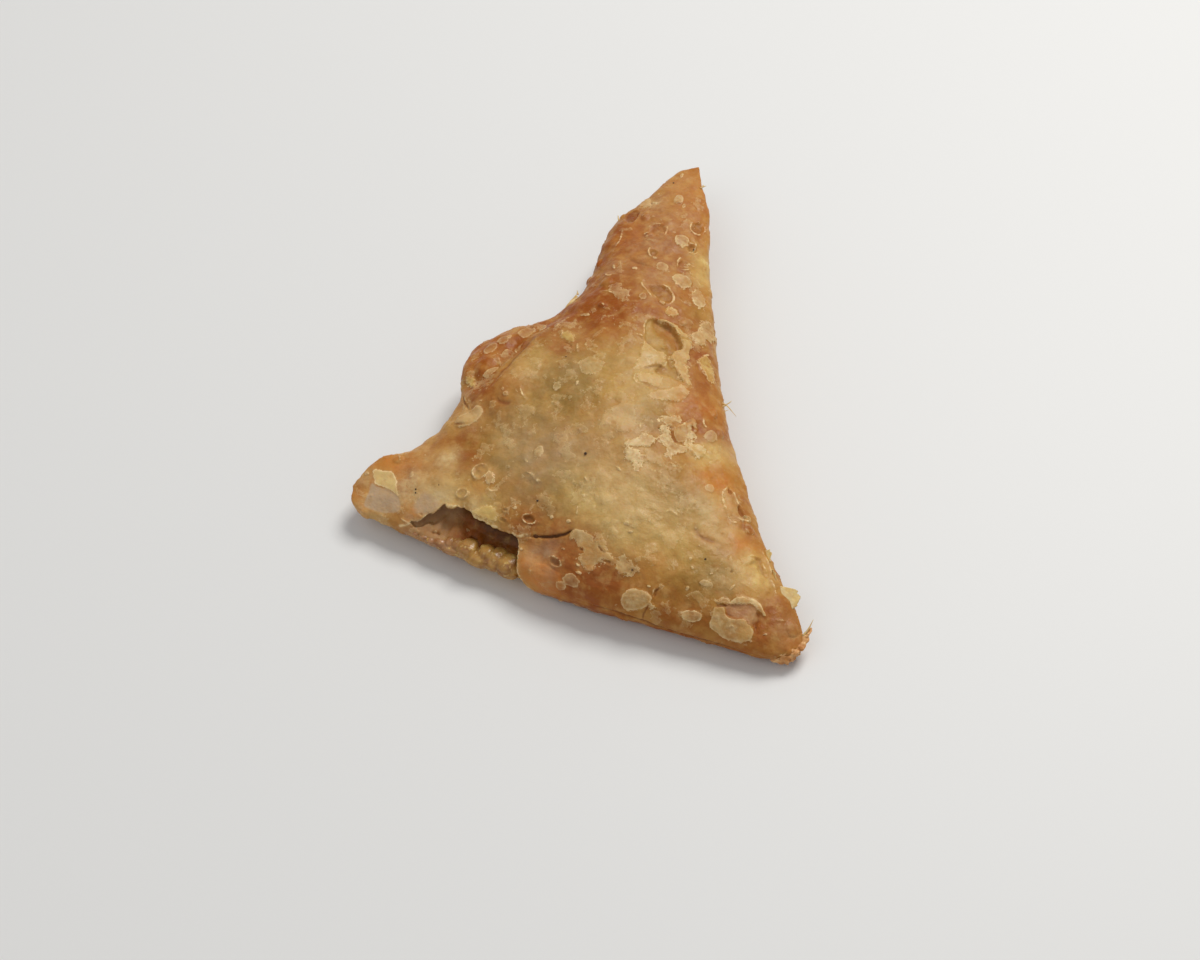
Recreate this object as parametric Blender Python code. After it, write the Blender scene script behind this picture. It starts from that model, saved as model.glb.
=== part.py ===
"""Samosa: a strip of thin pastry folded over and over into a three-cornered packet, then fried.

One solid, +Z up, in metres, on its flat underside, with the origin under the middle of its outline.
+X runs along the front fold, from the left tip to the right corner, and +Y runs back towards the
long apex. On the left the front fold gapes, where the top sheet has lifted off the layers below it.
On the right the last flap of the strip is folded down over the front.
"""

import math

import bmesh
import bpy
from mathutils import Vector, noise

MM = 0.001

# Driving dimensions, in millimetres.
TOP_RISE = 15.5  # from the height of the folded edges up to the crown
BASE_DROP = 18.0  # how far the underside would sag below the edges if nothing stopped it
CORNER_FLATTEN = (0.45, 0.35, 0.50)  # share of the swelling lost at the left, right and apex corners
FOLD_HALF = 0.6  # half of the least thickness along the folded edges
SHEET = 1.6  # pastry thickness at the free edges
LUMP_HEIGHT = 1.3  # how unevenly the filling pushes the top out
LUMP_SIZE = 21.0
MOUTH_HEIGHT = 4.6  # the clear height of the gape behind the free edge of the top sheet
MOUTH_REACH = 0.15  # how far the gape reaches in below the top sheet, across the fold
FLAP_STEP = 1.5  # how far the free end of the flap stands off the layers below it
FLAP_SINK = 0.4  # how far below the crust its joined edges run out
FLAP_ROOT = 1.0  # how deep the flap's inner face lies in the packet
CREASE_DEPTH = 1.8  # the fold between the top sheet and the puffed lobe on the left
CREASE_WIDTH = 2.6

# The folded edges as seen from above, with the height of the fold at each point: x, y, z.
LEFT_TIP = (-60.5, 2.5, 7.5)
RIGHT_CORNER = (59.0, 3.0, 4.0)
APEX = (-22.5, 133.5, 12.0)
FRONT_FOLD = [
    (-57.5, -2.0, 6.0),
    (-49.0, -3.0, 5.5),
    (-36.0, -3.8, 5.0),
    (-22.0, -4.0, 5.0),
    (-8.0, -4.4, 5.2),
    (6.0, -5.0, 5.6),
    (22.0, -4.8, 5.2),
    (40.0, -3.8, 4.6),
    (53.0, -2.4, 4.0),
]
RIGHT_FOLD = [
    (55.0, 9.5, 5.5),
    (43.0, 21.5, 7.5),
    (30.0, 38.0, 9.0),
    (18.0, 55.0, 10.0),
    (5.0, 79.0, 11.5),
    (-4.0, 97.5, 12.5),
    (-13.0, 118.0, 12.5),
]
LEFT_FOLD = [
    (-27.6, 125.5, 11.8),
    (-31.0, 116.5, 11.5),
    (-35.0, 103.0, 11.0),
    (-33.0, 87.0, 11.0),
    (-32.5, 76.0, 11.0),
    (-36.5, 67.0, 11.0),
    (-45.0, 59.5, 11.0),
    (-50.0, 50.0, 11.0),
    (-49.2, 41.5, 10.5),
    (-45.7, 34.5, 10.0),
    (-46.8, 25.2, 9.5),
    (-51.4, 16.8, 9.0),
    (-57.6, 11.9, 8.5),
]
LOBE_CREASE = [(-47.5, 35.0), (-40.0, 39.5), (-38.0, 53.0), (-33.0, 66.0)]

# The free edge of the top sheet, from the left end of the gape to where it runs into the flap. Each
# point has its share of the way along the front fold, and how far up the crust it lies, where 0 is
# the fold itself and less than 0 is the underside.
LIP = [
    (0.15, 0.03),
    (0.18, 0.10),
    (0.21, 0.17),
    (0.23, 0.22),
    (0.28, 0.23),
    (0.31, 0.21),
    (0.35, 0.20),
    (0.40, 0.20),
    (0.435, 0.225),
    (0.485, 0.255),
    (0.515, 0.29),
]
CRACK_WIDTH = 0.012  # between the free edge and the top of the flap, across the fold
FLAP_FROM, FLAP_TO = 0.405, 0.86  # along the front fold
FLAP_TOP = 0.31
FLAP_BASE = -0.085

FRONT_REACH = -6.05  # how far forward the flap stands, in the y of the lists above
ORIGIN = Vector(((LEFT_TIP[0] + RIGHT_CORNER[0]) / 2, (FRONT_REACH + APEX[1]) / 2, 0.0))

# Resolution of the faceted solid.
GRID = 38
MOUTH_STEPS = 20
FLAP_STEPS = 26
FLAP_ROWS = 10

CRUST_COLOUR = (0.42, 0.22, 0.075, 1.0)
CRUST_ROUGHNESS = 0.45


def ease(x):
    """0 below 0, 1 above 1, and smooth between."""
    x = min(max(x, 0.0), 1.0)
    return x * x * (3 - 2 * x)


def catmull_rom(points, share):
    """A point of a smooth curve through the points, at this share of their count."""
    last = len(points) - 1
    place = share * last
    i = min(int(place), last - 1)
    t = place - i
    p1, p2 = Vector(points[i]), Vector(points[i + 1])
    p0 = Vector(points[i - 1]) if i > 0 else 2 * p1 - p2
    p3 = Vector(points[i + 2]) if i + 2 <= last else 2 * p2 - p1
    return (
        p1
        + 0.5 * t * (p2 - p0)
        + t * t * (p0 - 2.5 * p1 + 2.0 * p2 - 0.5 * p3)
        + t * t * t * (-0.5 * p0 + 1.5 * p1 - 1.5 * p2 + 0.5 * p3)
    )


def evenly(points, samples=160):
    """The smooth curve through the points, as points evenly spaced along its length."""
    fine = [catmull_rom(points, i / (4 * samples)) for i in range(4 * samples + 1)]
    along = [0.0]
    for p, q in zip(fine, fine[1:]):
        along.append(along[-1] + (q - p).length)
    even = []
    j = 0
    for i in range(samples + 1):
        goal = along[-1] * i / samples
        while j < len(along) - 2 and along[j + 1] < goal:
            j += 1
        even.append(fine[j].lerp(fine[j + 1], (goal - along[j]) / (along[j + 1] - along[j])))
    return even


def on_curve(even, share):
    place = min(max(share, 0.0), 1.0) * (len(even) - 1)
    i = min(int(place), len(even) - 2)
    return even[i].lerp(even[i + 1], place - i)


FRONT = evenly([LEFT_TIP, *FRONT_FOLD, RIGHT_CORNER])
RIGHT = evenly([RIGHT_CORNER, *RIGHT_FOLD, APEX])
LEFT = evenly([APEX, *LEFT_FOLD, LEFT_TIP])


def bow(even, share):
    """How far a folded edge bows away from the straight line between its two corners."""
    return on_curve(even, share) - even[0].lerp(even[-1], share)


def middle(a, b, c):
    """The surface half way through the packet. a, b and c are the shares of the left tip, the right
    corner and the apex, which add up to 1; one of them is 0 on each folded edge."""
    point = a * Vector(LEFT_TIP) + b * Vector(RIGHT_CORNER) + c * Vector(APEX)
    for even, near, far in ((FRONT, a, b), (RIGHT, b, c), (LEFT, c, a)):
        if near + far > 1e-9:
            point = point + (near + far) ** 2 * bow(even, far / (near + far))
    return point


def swelling(a, b, c):
    """1 over the middle of the packet and 0 on its folded edges, round like a pillow."""
    left, right, apex = CORNER_FLATTEN
    flat = 1 - left * a * a - right * b * b - apex * c * c
    return flat * math.sqrt(max(27 * a * b * c, 0.0))


def crease(point):
    """The valley between the top sheet and the lobe that puffs out beside it."""
    flat = Vector((point.x, point.y))
    nearest = 1e9
    for start, end in zip(LOBE_CREASE, LOBE_CREASE[1:]):
        p, q = Vector(start), Vector(end)
        share = min(max((flat - p).dot(q - p) / (q - p).length_squared, 0.0), 1.0)
        nearest = min(nearest, (flat - p.lerp(q, share)).length)
    return CREASE_DEPTH * math.exp(-((nearest / CREASE_WIDTH) ** 2))


def lumps(point):
    """The filling pushes the pastry out unevenly."""
    return LUMP_HEIGHT * noise.noise(Vector((point.x, point.y, 0.0)) / LUMP_SIZE)


def crust_point(a, b, c, upper):
    """A point of the outer surface: the upper side of the packet, or its underside."""
    point = middle(a, b, c)
    full = swelling(a, b, c)
    if upper:
        point.z += FOLD_HALF + TOP_RISE * full + (lumps(point) - crease(point)) * min(2 * full, 1.0)
    else:
        point.z = max(point.z - FOLD_HALF - BASE_DROP * full, 0.0)
    return point


def front_point(along, across, away=0.0):
    """A point of the crust near the front fold, moved out of the crust by away."""

    def at(s, r):
        return crust_point((1 - s) * (1 - r * r), s * (1 - r * r), r * r, r >= 0)

    point = at(along, across)
    if away:
        step = 0.004
        sideways = at(along + step, across) - at(along - step, across)
        upwards = at(along, across + step) - at(along, across - step)
        point = point + away * sideways.cross(upwards).normalized()
    point.z = max(point.z, 0.0)
    return point


def outline(rows):
    """The points round the outside of a sheet, in order."""
    right = [row[-1] for row in rows[1:-1]]
    left = [row[0] for row in reversed(rows[1:-1])]
    back = list(reversed(rows[-1]))
    return [*rows[0], *right, *back, *left]


def closed_mesh(name, upper, lower, collection):
    """A closed mesh object from two sheets of points and a wall between their outlines. A sheet is a
    list of rows: four-cornered if its rows are equally long, and three-cornered if each row is one
    point shorter than the row before."""
    bm = bmesh.new()
    outlines = []
    for sheet in (upper, lower):
        rows = [[bm.verts.new(point) for point in row] for row in sheet]
        outlines.append(outline(rows))
        for near, far in zip(rows, rows[1:]):
            for i in range(len(near) - 1):
                if len(far) == len(near):
                    bm.faces.new((near[i], near[i + 1], far[i + 1], far[i]))
                    continue
                bm.faces.new((near[i], near[i + 1], far[i]))
                if i + 1 < len(far):
                    bm.faces.new((near[i + 1], far[i + 1], far[i]))
    above, below = outlines
    for i in range(len(above)):
        j = (i + 1) % len(above)
        bm.faces.new((above[i], above[j], below[j], below[i]))
    bmesh.ops.recalc_face_normals(bm, faces=bm.faces)
    bmesh.ops.scale(bm, vec=(MM, MM, MM), verts=bm.verts)
    mesh = bpy.data.meshes.new(name)
    bm.to_mesh(mesh)
    bm.free()
    mesh.shade_smooth()
    made = bpy.data.objects.new(name, mesh)
    made.location = -ORIGIN * MM
    collection.objects.link(made)
    return made


def packet_sheet(upper):
    """One side of the packet, row by row from the front fold to the apex. The grid is drawn towards
    the folded edges, where the crust curves most."""
    rows = []
    for k in range(GRID + 1):
        row = []
        for j in range(GRID - k + 1):
            shares = [(share / GRID) ** 1.6 for share in (GRID - k - j, j, k)]
            row.append(crust_point(*(share / sum(shares) for share in shares), upper))
        rows.append(row)
    return rows


def lip_across(along):
    """How far up the crust the free edge lies, level beyond its two ends."""
    for (start, low), (end, high) in zip(LIP, LIP[1:]):
        if along <= end:
            return low + (high - low) * ease((along - start) / (end - start))
    return LIP[-1][1]


def mouth_sheets():
    """The roof and the floor of the hollow that the gape opens. In front of the free edge the hollow
    is open to the air, so there the roof stands clear of the crust."""
    roof, floor = [], []
    for i in range(MOUTH_STEPS + 1):
        share = i / MOUTH_STEPS
        along = LIP[0][0] + (LIP[-1][0] - LIP[0][0]) * share
        lip = lip_across(along)
        opened = ease(share / 0.22)
        edge = front_point(along, lip)
        drop = Vector((0.0, 0.0, (SHEET + MOUTH_HEIGHT) * opened - 0.2 * (1 - opened)))
        fold = front_point(along, 0.0)
        roof_row, floor_row = [], []
        for forward in (6.0, 3.0, 1.0):
            floor_row.append(fold - Vector((0.0, forward, -0.2)))
            roof_row.append(fold + Vector((0.0, -forward, 16.0)))
        for step in range(3):
            part = step / 3
            crust = front_point(along, lip * part)
            sloped = fold.lerp(edge - drop, part)
            floor_row.append(Vector((crust.x, crust.y, crust.z + (sloped.z - crust.z) * opened + 0.2)))
            roof_row.append(Vector((crust.x, crust.y, fold.z + 16.0)))
        for step in range(5):
            inward = step / 4
            crust = front_point(along, lip + 0.004 + (0.02 + MOUTH_REACH * opened) * inward)
            height = 0.3 + (MOUTH_HEIGHT - 0.3) * opened * (1 - inward**2)
            roof_row.append(crust - Vector((0.0, 0.0, (SHEET + 1.5 * inward) * opened)))
            floor_row.append(roof_row[-1] - Vector((0.0, 0.0, height)))
        roof.append(roof_row)
        floor.append(floor_row)
    return roof, floor


def flap_sheets():
    """The outer and the inner face of the flap, which comes out below the free edge and follows the
    crust down over the front fold. It stands off at its free end and at the fold, and runs into the
    crust at its top and towards the right corner."""
    outer, inner = [], []
    for i in range(FLAP_STEPS + 1):
        share = i / FLAP_STEPS
        outer_row, inner_row = [], []
        for j in range(FLAP_ROWS + 1):
            down = j / FLAP_ROWS
            start = FLAP_FROM + 0.03 * down + 0.05 * down**6
            along = start + (FLAP_TO - start) * share
            joined = ease((along - 0.46) / 0.1)
            top = lip_across(along) - CRACK_WIDTH * (1 - joined)
            top += (FLAP_TOP - LIP[-1][1]) * joined
            across = top + (FLAP_BASE - top) * down
            far = ease((along - FLAP_FROM) / (FLAP_TO - FLAP_FROM))
            off = FLAP_STEP - (FLAP_STEP + FLAP_SINK) * far
            off = off * ease(down / 0.7) - FLAP_SINK * joined * (1 - ease(down / 0.3))
            outer_row.append(front_point(along, across, off))
            inner_row.append(front_point(along, across, -FLAP_ROOT))
        outer.append(outer_row)
        inner.append(inner_row)
    return outer, inner


def boolean(target, other, operation):
    modifier = target.modifiers.new(other.name, "BOOLEAN")
    modifier.operation = operation
    modifier.solver = "EXACT"
    modifier.object = other


def helper(made):
    made.hide_render = True
    made.display_type = "WIRE"
    return made


def fried_pastry():
    material = bpy.data.materials.new("fried_pastry")
    material.use_nodes = True
    shader = material.node_tree.nodes["Principled BSDF"]
    shader.inputs["Base Color"].default_value = CRUST_COLOUR
    shader.inputs["Roughness"].default_value = CRUST_ROUGHNESS
    shader.inputs["Metallic"].default_value = 0.0
    return material


def build():
    for old in list(bpy.data.objects):
        bpy.data.objects.remove(old)
    parts = bpy.data.collections.new("samosa")
    cutters = bpy.data.collections.new("cutters")
    bpy.context.scene.collection.children.link(parts)
    bpy.context.scene.collection.children.link(cutters)

    samosa = closed_mesh("samosa", packet_sheet(True), packet_sheet(False), parts)
    samosa.data.materials.append(fried_pastry())
    boolean(samosa, helper(closed_mesh("mouth", *mouth_sheets(), cutters)), "DIFFERENCE")
    boolean(samosa, helper(closed_mesh("flap", *flap_sheets(), cutters)), "UNION")


build()
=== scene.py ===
"""The looks of one deep-fried samosa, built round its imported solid. Lengths are in millimetres until a
piece's mesh is made; the meshes and everything that the frame sees are in metres."""

import math

import bmesh
import bpy
import numpy as np
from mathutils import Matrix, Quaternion, Vector, noise
from mathutils.bvhtree import BVHTree


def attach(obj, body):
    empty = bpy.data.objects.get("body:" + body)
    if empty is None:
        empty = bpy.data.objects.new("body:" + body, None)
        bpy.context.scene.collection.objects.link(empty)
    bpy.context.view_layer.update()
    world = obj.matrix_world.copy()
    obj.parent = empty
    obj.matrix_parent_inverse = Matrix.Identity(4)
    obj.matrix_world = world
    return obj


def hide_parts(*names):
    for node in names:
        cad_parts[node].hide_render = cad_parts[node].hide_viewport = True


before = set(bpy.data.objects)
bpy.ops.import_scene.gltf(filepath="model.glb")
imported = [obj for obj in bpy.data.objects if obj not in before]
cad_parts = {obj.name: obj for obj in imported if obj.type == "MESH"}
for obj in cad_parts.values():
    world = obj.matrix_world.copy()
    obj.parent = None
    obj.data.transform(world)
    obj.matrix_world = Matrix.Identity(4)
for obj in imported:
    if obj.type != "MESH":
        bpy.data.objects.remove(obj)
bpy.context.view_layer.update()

# ---------------------------------------------------------------------------------------------
# The table top, the light and the camera.
# The samosa lies on a plain pale table in soft daylight, which comes from above and from behind
# it. The camera looks down on the front fold from the right.

scene = bpy.context.scene
MM = 0.001
CAMERA_AT = (139.7, -291.3, 384.4)
CAMERA_AIM = (-2.4, -37.9, 10.0)
CAMERA_ROLL = math.radians(-5.8)
CAMERA_LENS = 57.98
TABLE_SIZE = 40.0
TABLE_GAP = 0.0002
TABLE_WHITE = (0.78, 0.78, 0.775, 1.0)
TABLE_ROUGHNESS = 0.55
WINDOW = {"place": (0.16, 0.70, 1.0), "size": 0.55, "power": 10.5, "colour": (1.0, 0.985, 0.95)}
FILL = {"place": (-0.3, -0.6, 0.9), "size": 0.9, "power": 1.6, "colour": (1.0, 0.99, 0.98)}
SKY_WHITE = (1.0, 1.0, 1.0, 1.0)
SKY_STRENGTH = 0.35


def placed(name, data):
    """An object with this mesh, light or camera, put into the scene."""
    made = bpy.data.objects.new(name, data)
    scene.collection.objects.link(made)
    return made


def new_material(name):
    """A material, its node tree and its shader."""
    material = bpy.data.materials.new(name)
    material.use_nodes = True
    return material, material.node_tree, material.node_tree.nodes["Principled BSDF"]


def fed(made, values):
    """A node whose inputs have been given these values or links."""
    for name, value in values.items():
        if isinstance(value, bpy.types.NodeSocket):
            made.id_data.links.new(value, made.inputs[name])
        else:
            made.inputs[name].default_value = value
    return made


def table_top():
    """A plain pale sheet that reaches far past what is seen."""
    mesh = bpy.data.meshes.new("table_top")
    half = TABLE_SIZE / 2
    corners = [(-half, -half, 0.0), (half, -half, 0.0), (half, half, 0.0), (-half, half, 0.0)]
    mesh.from_pydata(corners, [], [(0, 1, 2, 3)])
    white, _, shader = new_material("table_white")
    fed(shader, {"Base Color": TABLE_WHITE, "Roughness": TABLE_ROUGHNESS})
    mesh.materials.append(white)
    table = placed("table_top", mesh)
    table.location.z = -TABLE_GAP


def soft_light(name, place, size, power, colour):
    """A square soft box that faces the samosa."""
    data = bpy.data.lights.new(name, "AREA")
    data.shape = "SQUARE"
    data.size = size
    data.energy = power
    data.color = colour
    light = placed(name, data)
    light.location = place
    light.rotation_mode = "QUATERNION"
    light.rotation_quaternion = (-Vector(place)).to_track_quat("-Z", "Y")


def camera():
    """A long lens aimed at the front half of the samosa, a little tilted."""
    data = bpy.data.cameras.new("camera")
    data.lens = CAMERA_LENS
    data.sensor_width = 36.0
    data.clip_start = 0.01
    view = placed("camera", data)
    sight = Vector(CAMERA_AIM) - Vector(CAMERA_AT)
    view.location = Vector(CAMERA_AT) * MM
    view.rotation_mode = "QUATERNION"
    level = sight.to_track_quat("-Z", "Y")
    view.rotation_quaternion = level @ Quaternion((0.0, 0.0, 1.0), CAMERA_ROLL)
    scene.camera = view


table_top()
soft_light("window", **WINDOW)
soft_light("fill", **FILL)
world = bpy.data.worlds.new("daylight")
world.use_nodes = True
fed(world.node_tree.nodes["Background"], {"Color": SKY_WHITE, "Strength": SKY_STRENGTH})
scene.world = world
scene.view_settings.view_transform = "Standard"
camera()

# ---------------------------------------------------------------------------------------------
# The crust.
# A strip of thin pastry, folded over and over into a three-cornered packet round its filling and
# deep-fried until the folds are brown. Seen from outside it is one skin: the top sheet, the lobe
# that puffs out beside it, the layers that show where the front fold gapes, and the last flap.

TOP_RISE = 15.5
BASE_DROP = 18.0
CORNER_FLATTEN = (0.45, 0.35, 0.50)
FOLD_HALF = 0.6
LUMP_HEIGHT = 1.3
LUMP_SIZE = 21.0
CREASE_DEPTH = 1.8
CREASE_WIDTH = 2.6
LEFT_TIP = (-60.5, 2.5, 7.5)
RIGHT_CORNER = (59.0, 3.0, 4.0)
APEX = (-22.5, 133.5, 12.0)
FRONT_FOLD = [
    (-57.5, -2.0, 6.0), (-49.0, -3.0, 5.5), (-36.0, -3.8, 5.0), (-22.0, -4.0, 5.0), (-8.0, -4.4, 5.2),
    (6.0, -5.0, 5.6), (22.0, -4.8, 5.2), (40.0, -3.8, 4.6), (53.0, -2.4, 4.0),
]
RIGHT_FOLD = [
    (55.0, 9.5, 5.5), (43.0, 21.5, 7.5), (30.0, 38.0, 9.0), (18.0, 55.0, 10.0), (5.0, 79.0, 11.5),
    (-4.0, 97.5, 12.5), (-13.0, 118.0, 12.5),
]
LEFT_FOLD = [
    (-25.0, 131.9, 12.0), (-28.3, 126.6, 11.8), (-31.0, 116.5, 11.5), (-35.0, 103.0, 11.0),
    (-33.0, 87.0, 11.0), (-32.5, 76.0, 11.0), (-36.5, 67.0, 11.0), (-45.0, 59.5, 11.0), (-50.0, 50.0, 11.0),
    (-49.2, 41.5, 10.5), (-45.7, 34.5, 10.0), (-46.8, 25.2, 9.5), (-51.4, 16.8, 9.0), (-57.6, 11.9, 8.5),
]
LOBE_CREASE = [(-47.5, 35.0), (-40.0, 39.5), (-38.0, 53.0), (-33.0, 66.0)]
ORIGIN = Vector((-0.75, 63.725, 0.0))  # the middle of the outline, in the numbers of those lists

SKIN_GRID = 150  # steps along each folded edge
GRID_DRAW = 1.6
SKIN_VOXEL = 0.32
FLAKE_SPAN = 2.4
CRUST_TRIANGLES = 196_000


def ease(x):
    """0 below 0, 1 above 1, and smooth between. For numbers and arrays."""
    x = np.clip(x, 0.0, 1.0)
    return x * x * (3 - 2 * x)


def rising(values, start, over):
    """0 up to start and 1 from start + over on, smooth between."""
    return ease((values - start) / over)


def falling(values, start, over):
    """1 up to start - over and 0 from start on, smooth between."""
    return ease((start - values) / over)


def catmull_rom(points, share):
    """A point of a smooth curve through the points, at this share of their count."""
    last = len(points) - 1
    place = share * last
    i = min(int(place), last - 1)
    t = place - i
    p1, p2 = Vector(points[i]), Vector(points[i + 1])
    p0 = Vector(points[i - 1]) if i > 0 else 2 * p1 - p2
    p3 = Vector(points[i + 2]) if i + 2 <= last else 2 * p2 - p1
    return (
        p1
        + 0.5 * t * (p2 - p0)
        + t * t * (p0 - 2.5 * p1 + 2.0 * p2 - 0.5 * p3)
        + t * t * t * (-0.5 * p0 + 1.5 * p1 - 1.5 * p2 + 0.5 * p3)
    )


def evenly(points, samples=160):
    """The smooth curve through the points, as points evenly spaced along its length."""
    fine = [catmull_rom(points, i / (4 * samples)) for i in range(4 * samples + 1)]
    along = [0.0]
    for p, q in zip(fine, fine[1:]):
        along.append(along[-1] + (q - p).length)
    even = []
    j = 0
    for i in range(samples + 1):
        goal = along[-1] * i / samples
        while j < len(along) - 2 and along[j + 1] < goal:
            j += 1
        even.append(fine[j].lerp(fine[j + 1], (goal - along[j]) / (along[j + 1] - along[j])))
    return even


def on_curve(even, share):
    place = min(max(share, 0.0), 1.0) * (len(even) - 1)
    i = min(int(place), len(even) - 2)
    return even[i].lerp(even[i + 1], place - i)


FRONT = evenly([LEFT_TIP, *FRONT_FOLD, RIGHT_CORNER])
RIGHT = evenly([RIGHT_CORNER, *RIGHT_FOLD, APEX])
LEFT = evenly([APEX, *LEFT_FOLD, LEFT_TIP])


def bow(even, share):
    """How far a folded edge bows away from the straight line between its two corners."""
    return on_curve(even, share) - even[0].lerp(even[-1], share)


def middle(a, b, c):
    """The surface half way through the packet. a, b and c are the shares of the left tip, the right
    corner and the apex, which add up to 1; one of them is 0 on each folded edge."""
    point = a * Vector(LEFT_TIP) + b * Vector(RIGHT_CORNER) + c * Vector(APEX)
    for even, near, far in ((FRONT, a, b), (RIGHT, b, c), (LEFT, c, a)):
        if near + far > 1e-9:
            point = point + (near + far) ** 2 * bow(even, far / (near + far))
    return point


def swelling(a, b, c):
    """1 over the middle of the packet and 0 on its folded edges, round like a pillow."""
    left, right, apex = CORNER_FLATTEN
    flat = 1 - left * a * a - right * b * b - apex * c * c
    return flat * math.sqrt(max(27 * a * b * c, 0.0))


def lobe_crease(point):
    """The valley between the top sheet and the lobe that puffs out beside it."""
    flat = Vector((point.x, point.y))
    nearest = 1e9
    for start, end in zip(LOBE_CREASE, LOBE_CREASE[1:]):
        p, q = Vector(start), Vector(end)
        share = min(max((flat - p).dot(q - p) / (q - p).length_squared, 0.0), 1.0)
        nearest = min(nearest, (flat - p.lerp(q, share)).length)
    return CREASE_DEPTH * math.exp(-((nearest / CREASE_WIDTH) ** 2))


def crust_point(a, b, c, upper):
    """A point of the outer surface: the upper side of the packet, or its underside."""
    point = middle(a, b, c)
    full = swelling(a, b, c)
    if upper:
        lumps = LUMP_HEIGHT * noise.noise(Vector((point.x, point.y, 0.0)) / LUMP_SIZE)
        point.z += FOLD_HALF + TOP_RISE * full + (lumps - lobe_crease(point)) * min(2 * full, 1.0)
    else:
        point.z = max(point.z - FOLD_HALF - BASE_DROP * full, 0.0)
    return point


def front_point(along, across, away=0.0):
    """A point of the crust near the front fold, moved out of the crust by away. across is 0 on the
    fold, more than 0 on the upper side and less on the underside."""

    def at(s, r):
        return crust_point((1 - s) * (1 - r * r), s * (1 - r * r), r * r, r >= 0)

    point = at(along, across)
    if away:
        step = 0.004
        sideways = at(along + step, across) - at(along - step, across)
        upwards = at(along, across + step) - at(along, across - step)
        point = point + away * sideways.cross(upwards).normalized()
    point.z = max(point.z, 0.0)
    return point


def from_bmesh(name, bm):
    """A mesh object of what has been built, put into the scene."""
    mesh = bpy.data.meshes.new(name)
    bm.to_mesh(mesh)
    bm.free()
    return placed(name, mesh)


def outline(rows):
    """The points round the outside of a sheet, in order."""
    right = [row[-1] for row in rows[1:-1]]
    left = [row[0] for row in reversed(rows[1:-1])]
    back = list(reversed(rows[-1]))
    return [*rows[0], *right, *back, *left]


def closed_sheets(name, upper, lower):
    """A closed mesh object from two sheets of points and a wall between their outlines. A sheet is a
    list of rows: four-cornered if its rows are equally long, and three-cornered if each row is one
    point shorter than the row before."""
    bm = bmesh.new()
    outlines = []
    for sheet in (upper, lower):
        rows = [[bm.verts.new((point - ORIGIN) * MM) for point in row] for row in sheet]
        outlines.append(outline(rows))
        for near, far in zip(rows, rows[1:]):
            for i in range(len(near) - 1):
                if len(far) == len(near):
                    bm.faces.new((near[i], near[i + 1], far[i + 1], far[i]))
                    continue
                bm.faces.new((near[i], near[i + 1], far[i]))
                if i + 1 < len(far):
                    bm.faces.new((near[i + 1], far[i + 1], far[i]))
    above, below = outlines
    for i in range(len(above)):
        j = (i + 1) % len(above)
        bm.faces.new((above[i], above[j], below[j], below[i]))
    bmesh.ops.recalc_face_normals(bm, faces=bm.faces)
    return from_bmesh(name, bm)


def packet_sheet(upper):
    """One side of the packet, row by row from the front fold to the apex. The grid is drawn towards
    the folded edges, where the crust curves most."""
    rows = []
    for k in range(SKIN_GRID + 1):
        row = []
        for j in range(SKIN_GRID - k + 1):
            shares = [(share / SKIN_GRID) ** GRID_DRAW for share in (SKIN_GRID - k - j, j, k)]
            row.append(crust_point(*(share / sum(shares) for share in shares), upper))
        rows.append(row)
    return rows


# The gape. The free edge of the top sheet runs from the left end of the gape to where it meets the
# flap: each point has its share of the way along the front fold and how far up the crust it lies.
LIP = [
    (0.15, 0.03), (0.18, 0.10), (0.21, 0.17), (0.23, 0.22), (0.28, 0.23), (0.31, 0.21), (0.35, 0.20),
    (0.40, 0.20), (0.435, 0.225), (0.485, 0.255), (0.515, 0.29),
]
LIP_THICKNESS = 0.95
MOUTH_HEIGHT = 4.8
MOUTH_REACH = 0.16
MOUTH_STEPS = 170
MOUTH_OPENING = 0.27  # the share of the gape over which it opens, from its left end
FRONT_STEPS, INNER_STEPS = 6, 8
ABOVE_CRUST = 16.0


def wander(place, size, seed):
    """A smooth random number between about -1 and 1 that changes over this size."""
    return 1.8 * noise.noise(Vector((place / size, seed, 0.37 * seed)))


def lip_across(along):
    """How far up the crust the free edge lies, level beyond its two ends."""
    for (start, low), (end, high) in zip(LIP, LIP[1:]):
        if along <= end:
            return low + (high - low) * float(ease((along - start) / (end - start)))
    return LIP[-1][1]


def ragged_lip(along):
    """The free edge as it broke: small steps and notches, and a nearly clean end by the flap."""
    broken = 0.35 + 0.65 * float(falling(along, 0.33, 0.05))
    ragged = 0.006 * wander(along, 0.011, 3.1) + 0.005 * abs(wander(along, 0.005, 7.7))
    return lip_across(along) + broken * ragged


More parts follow.
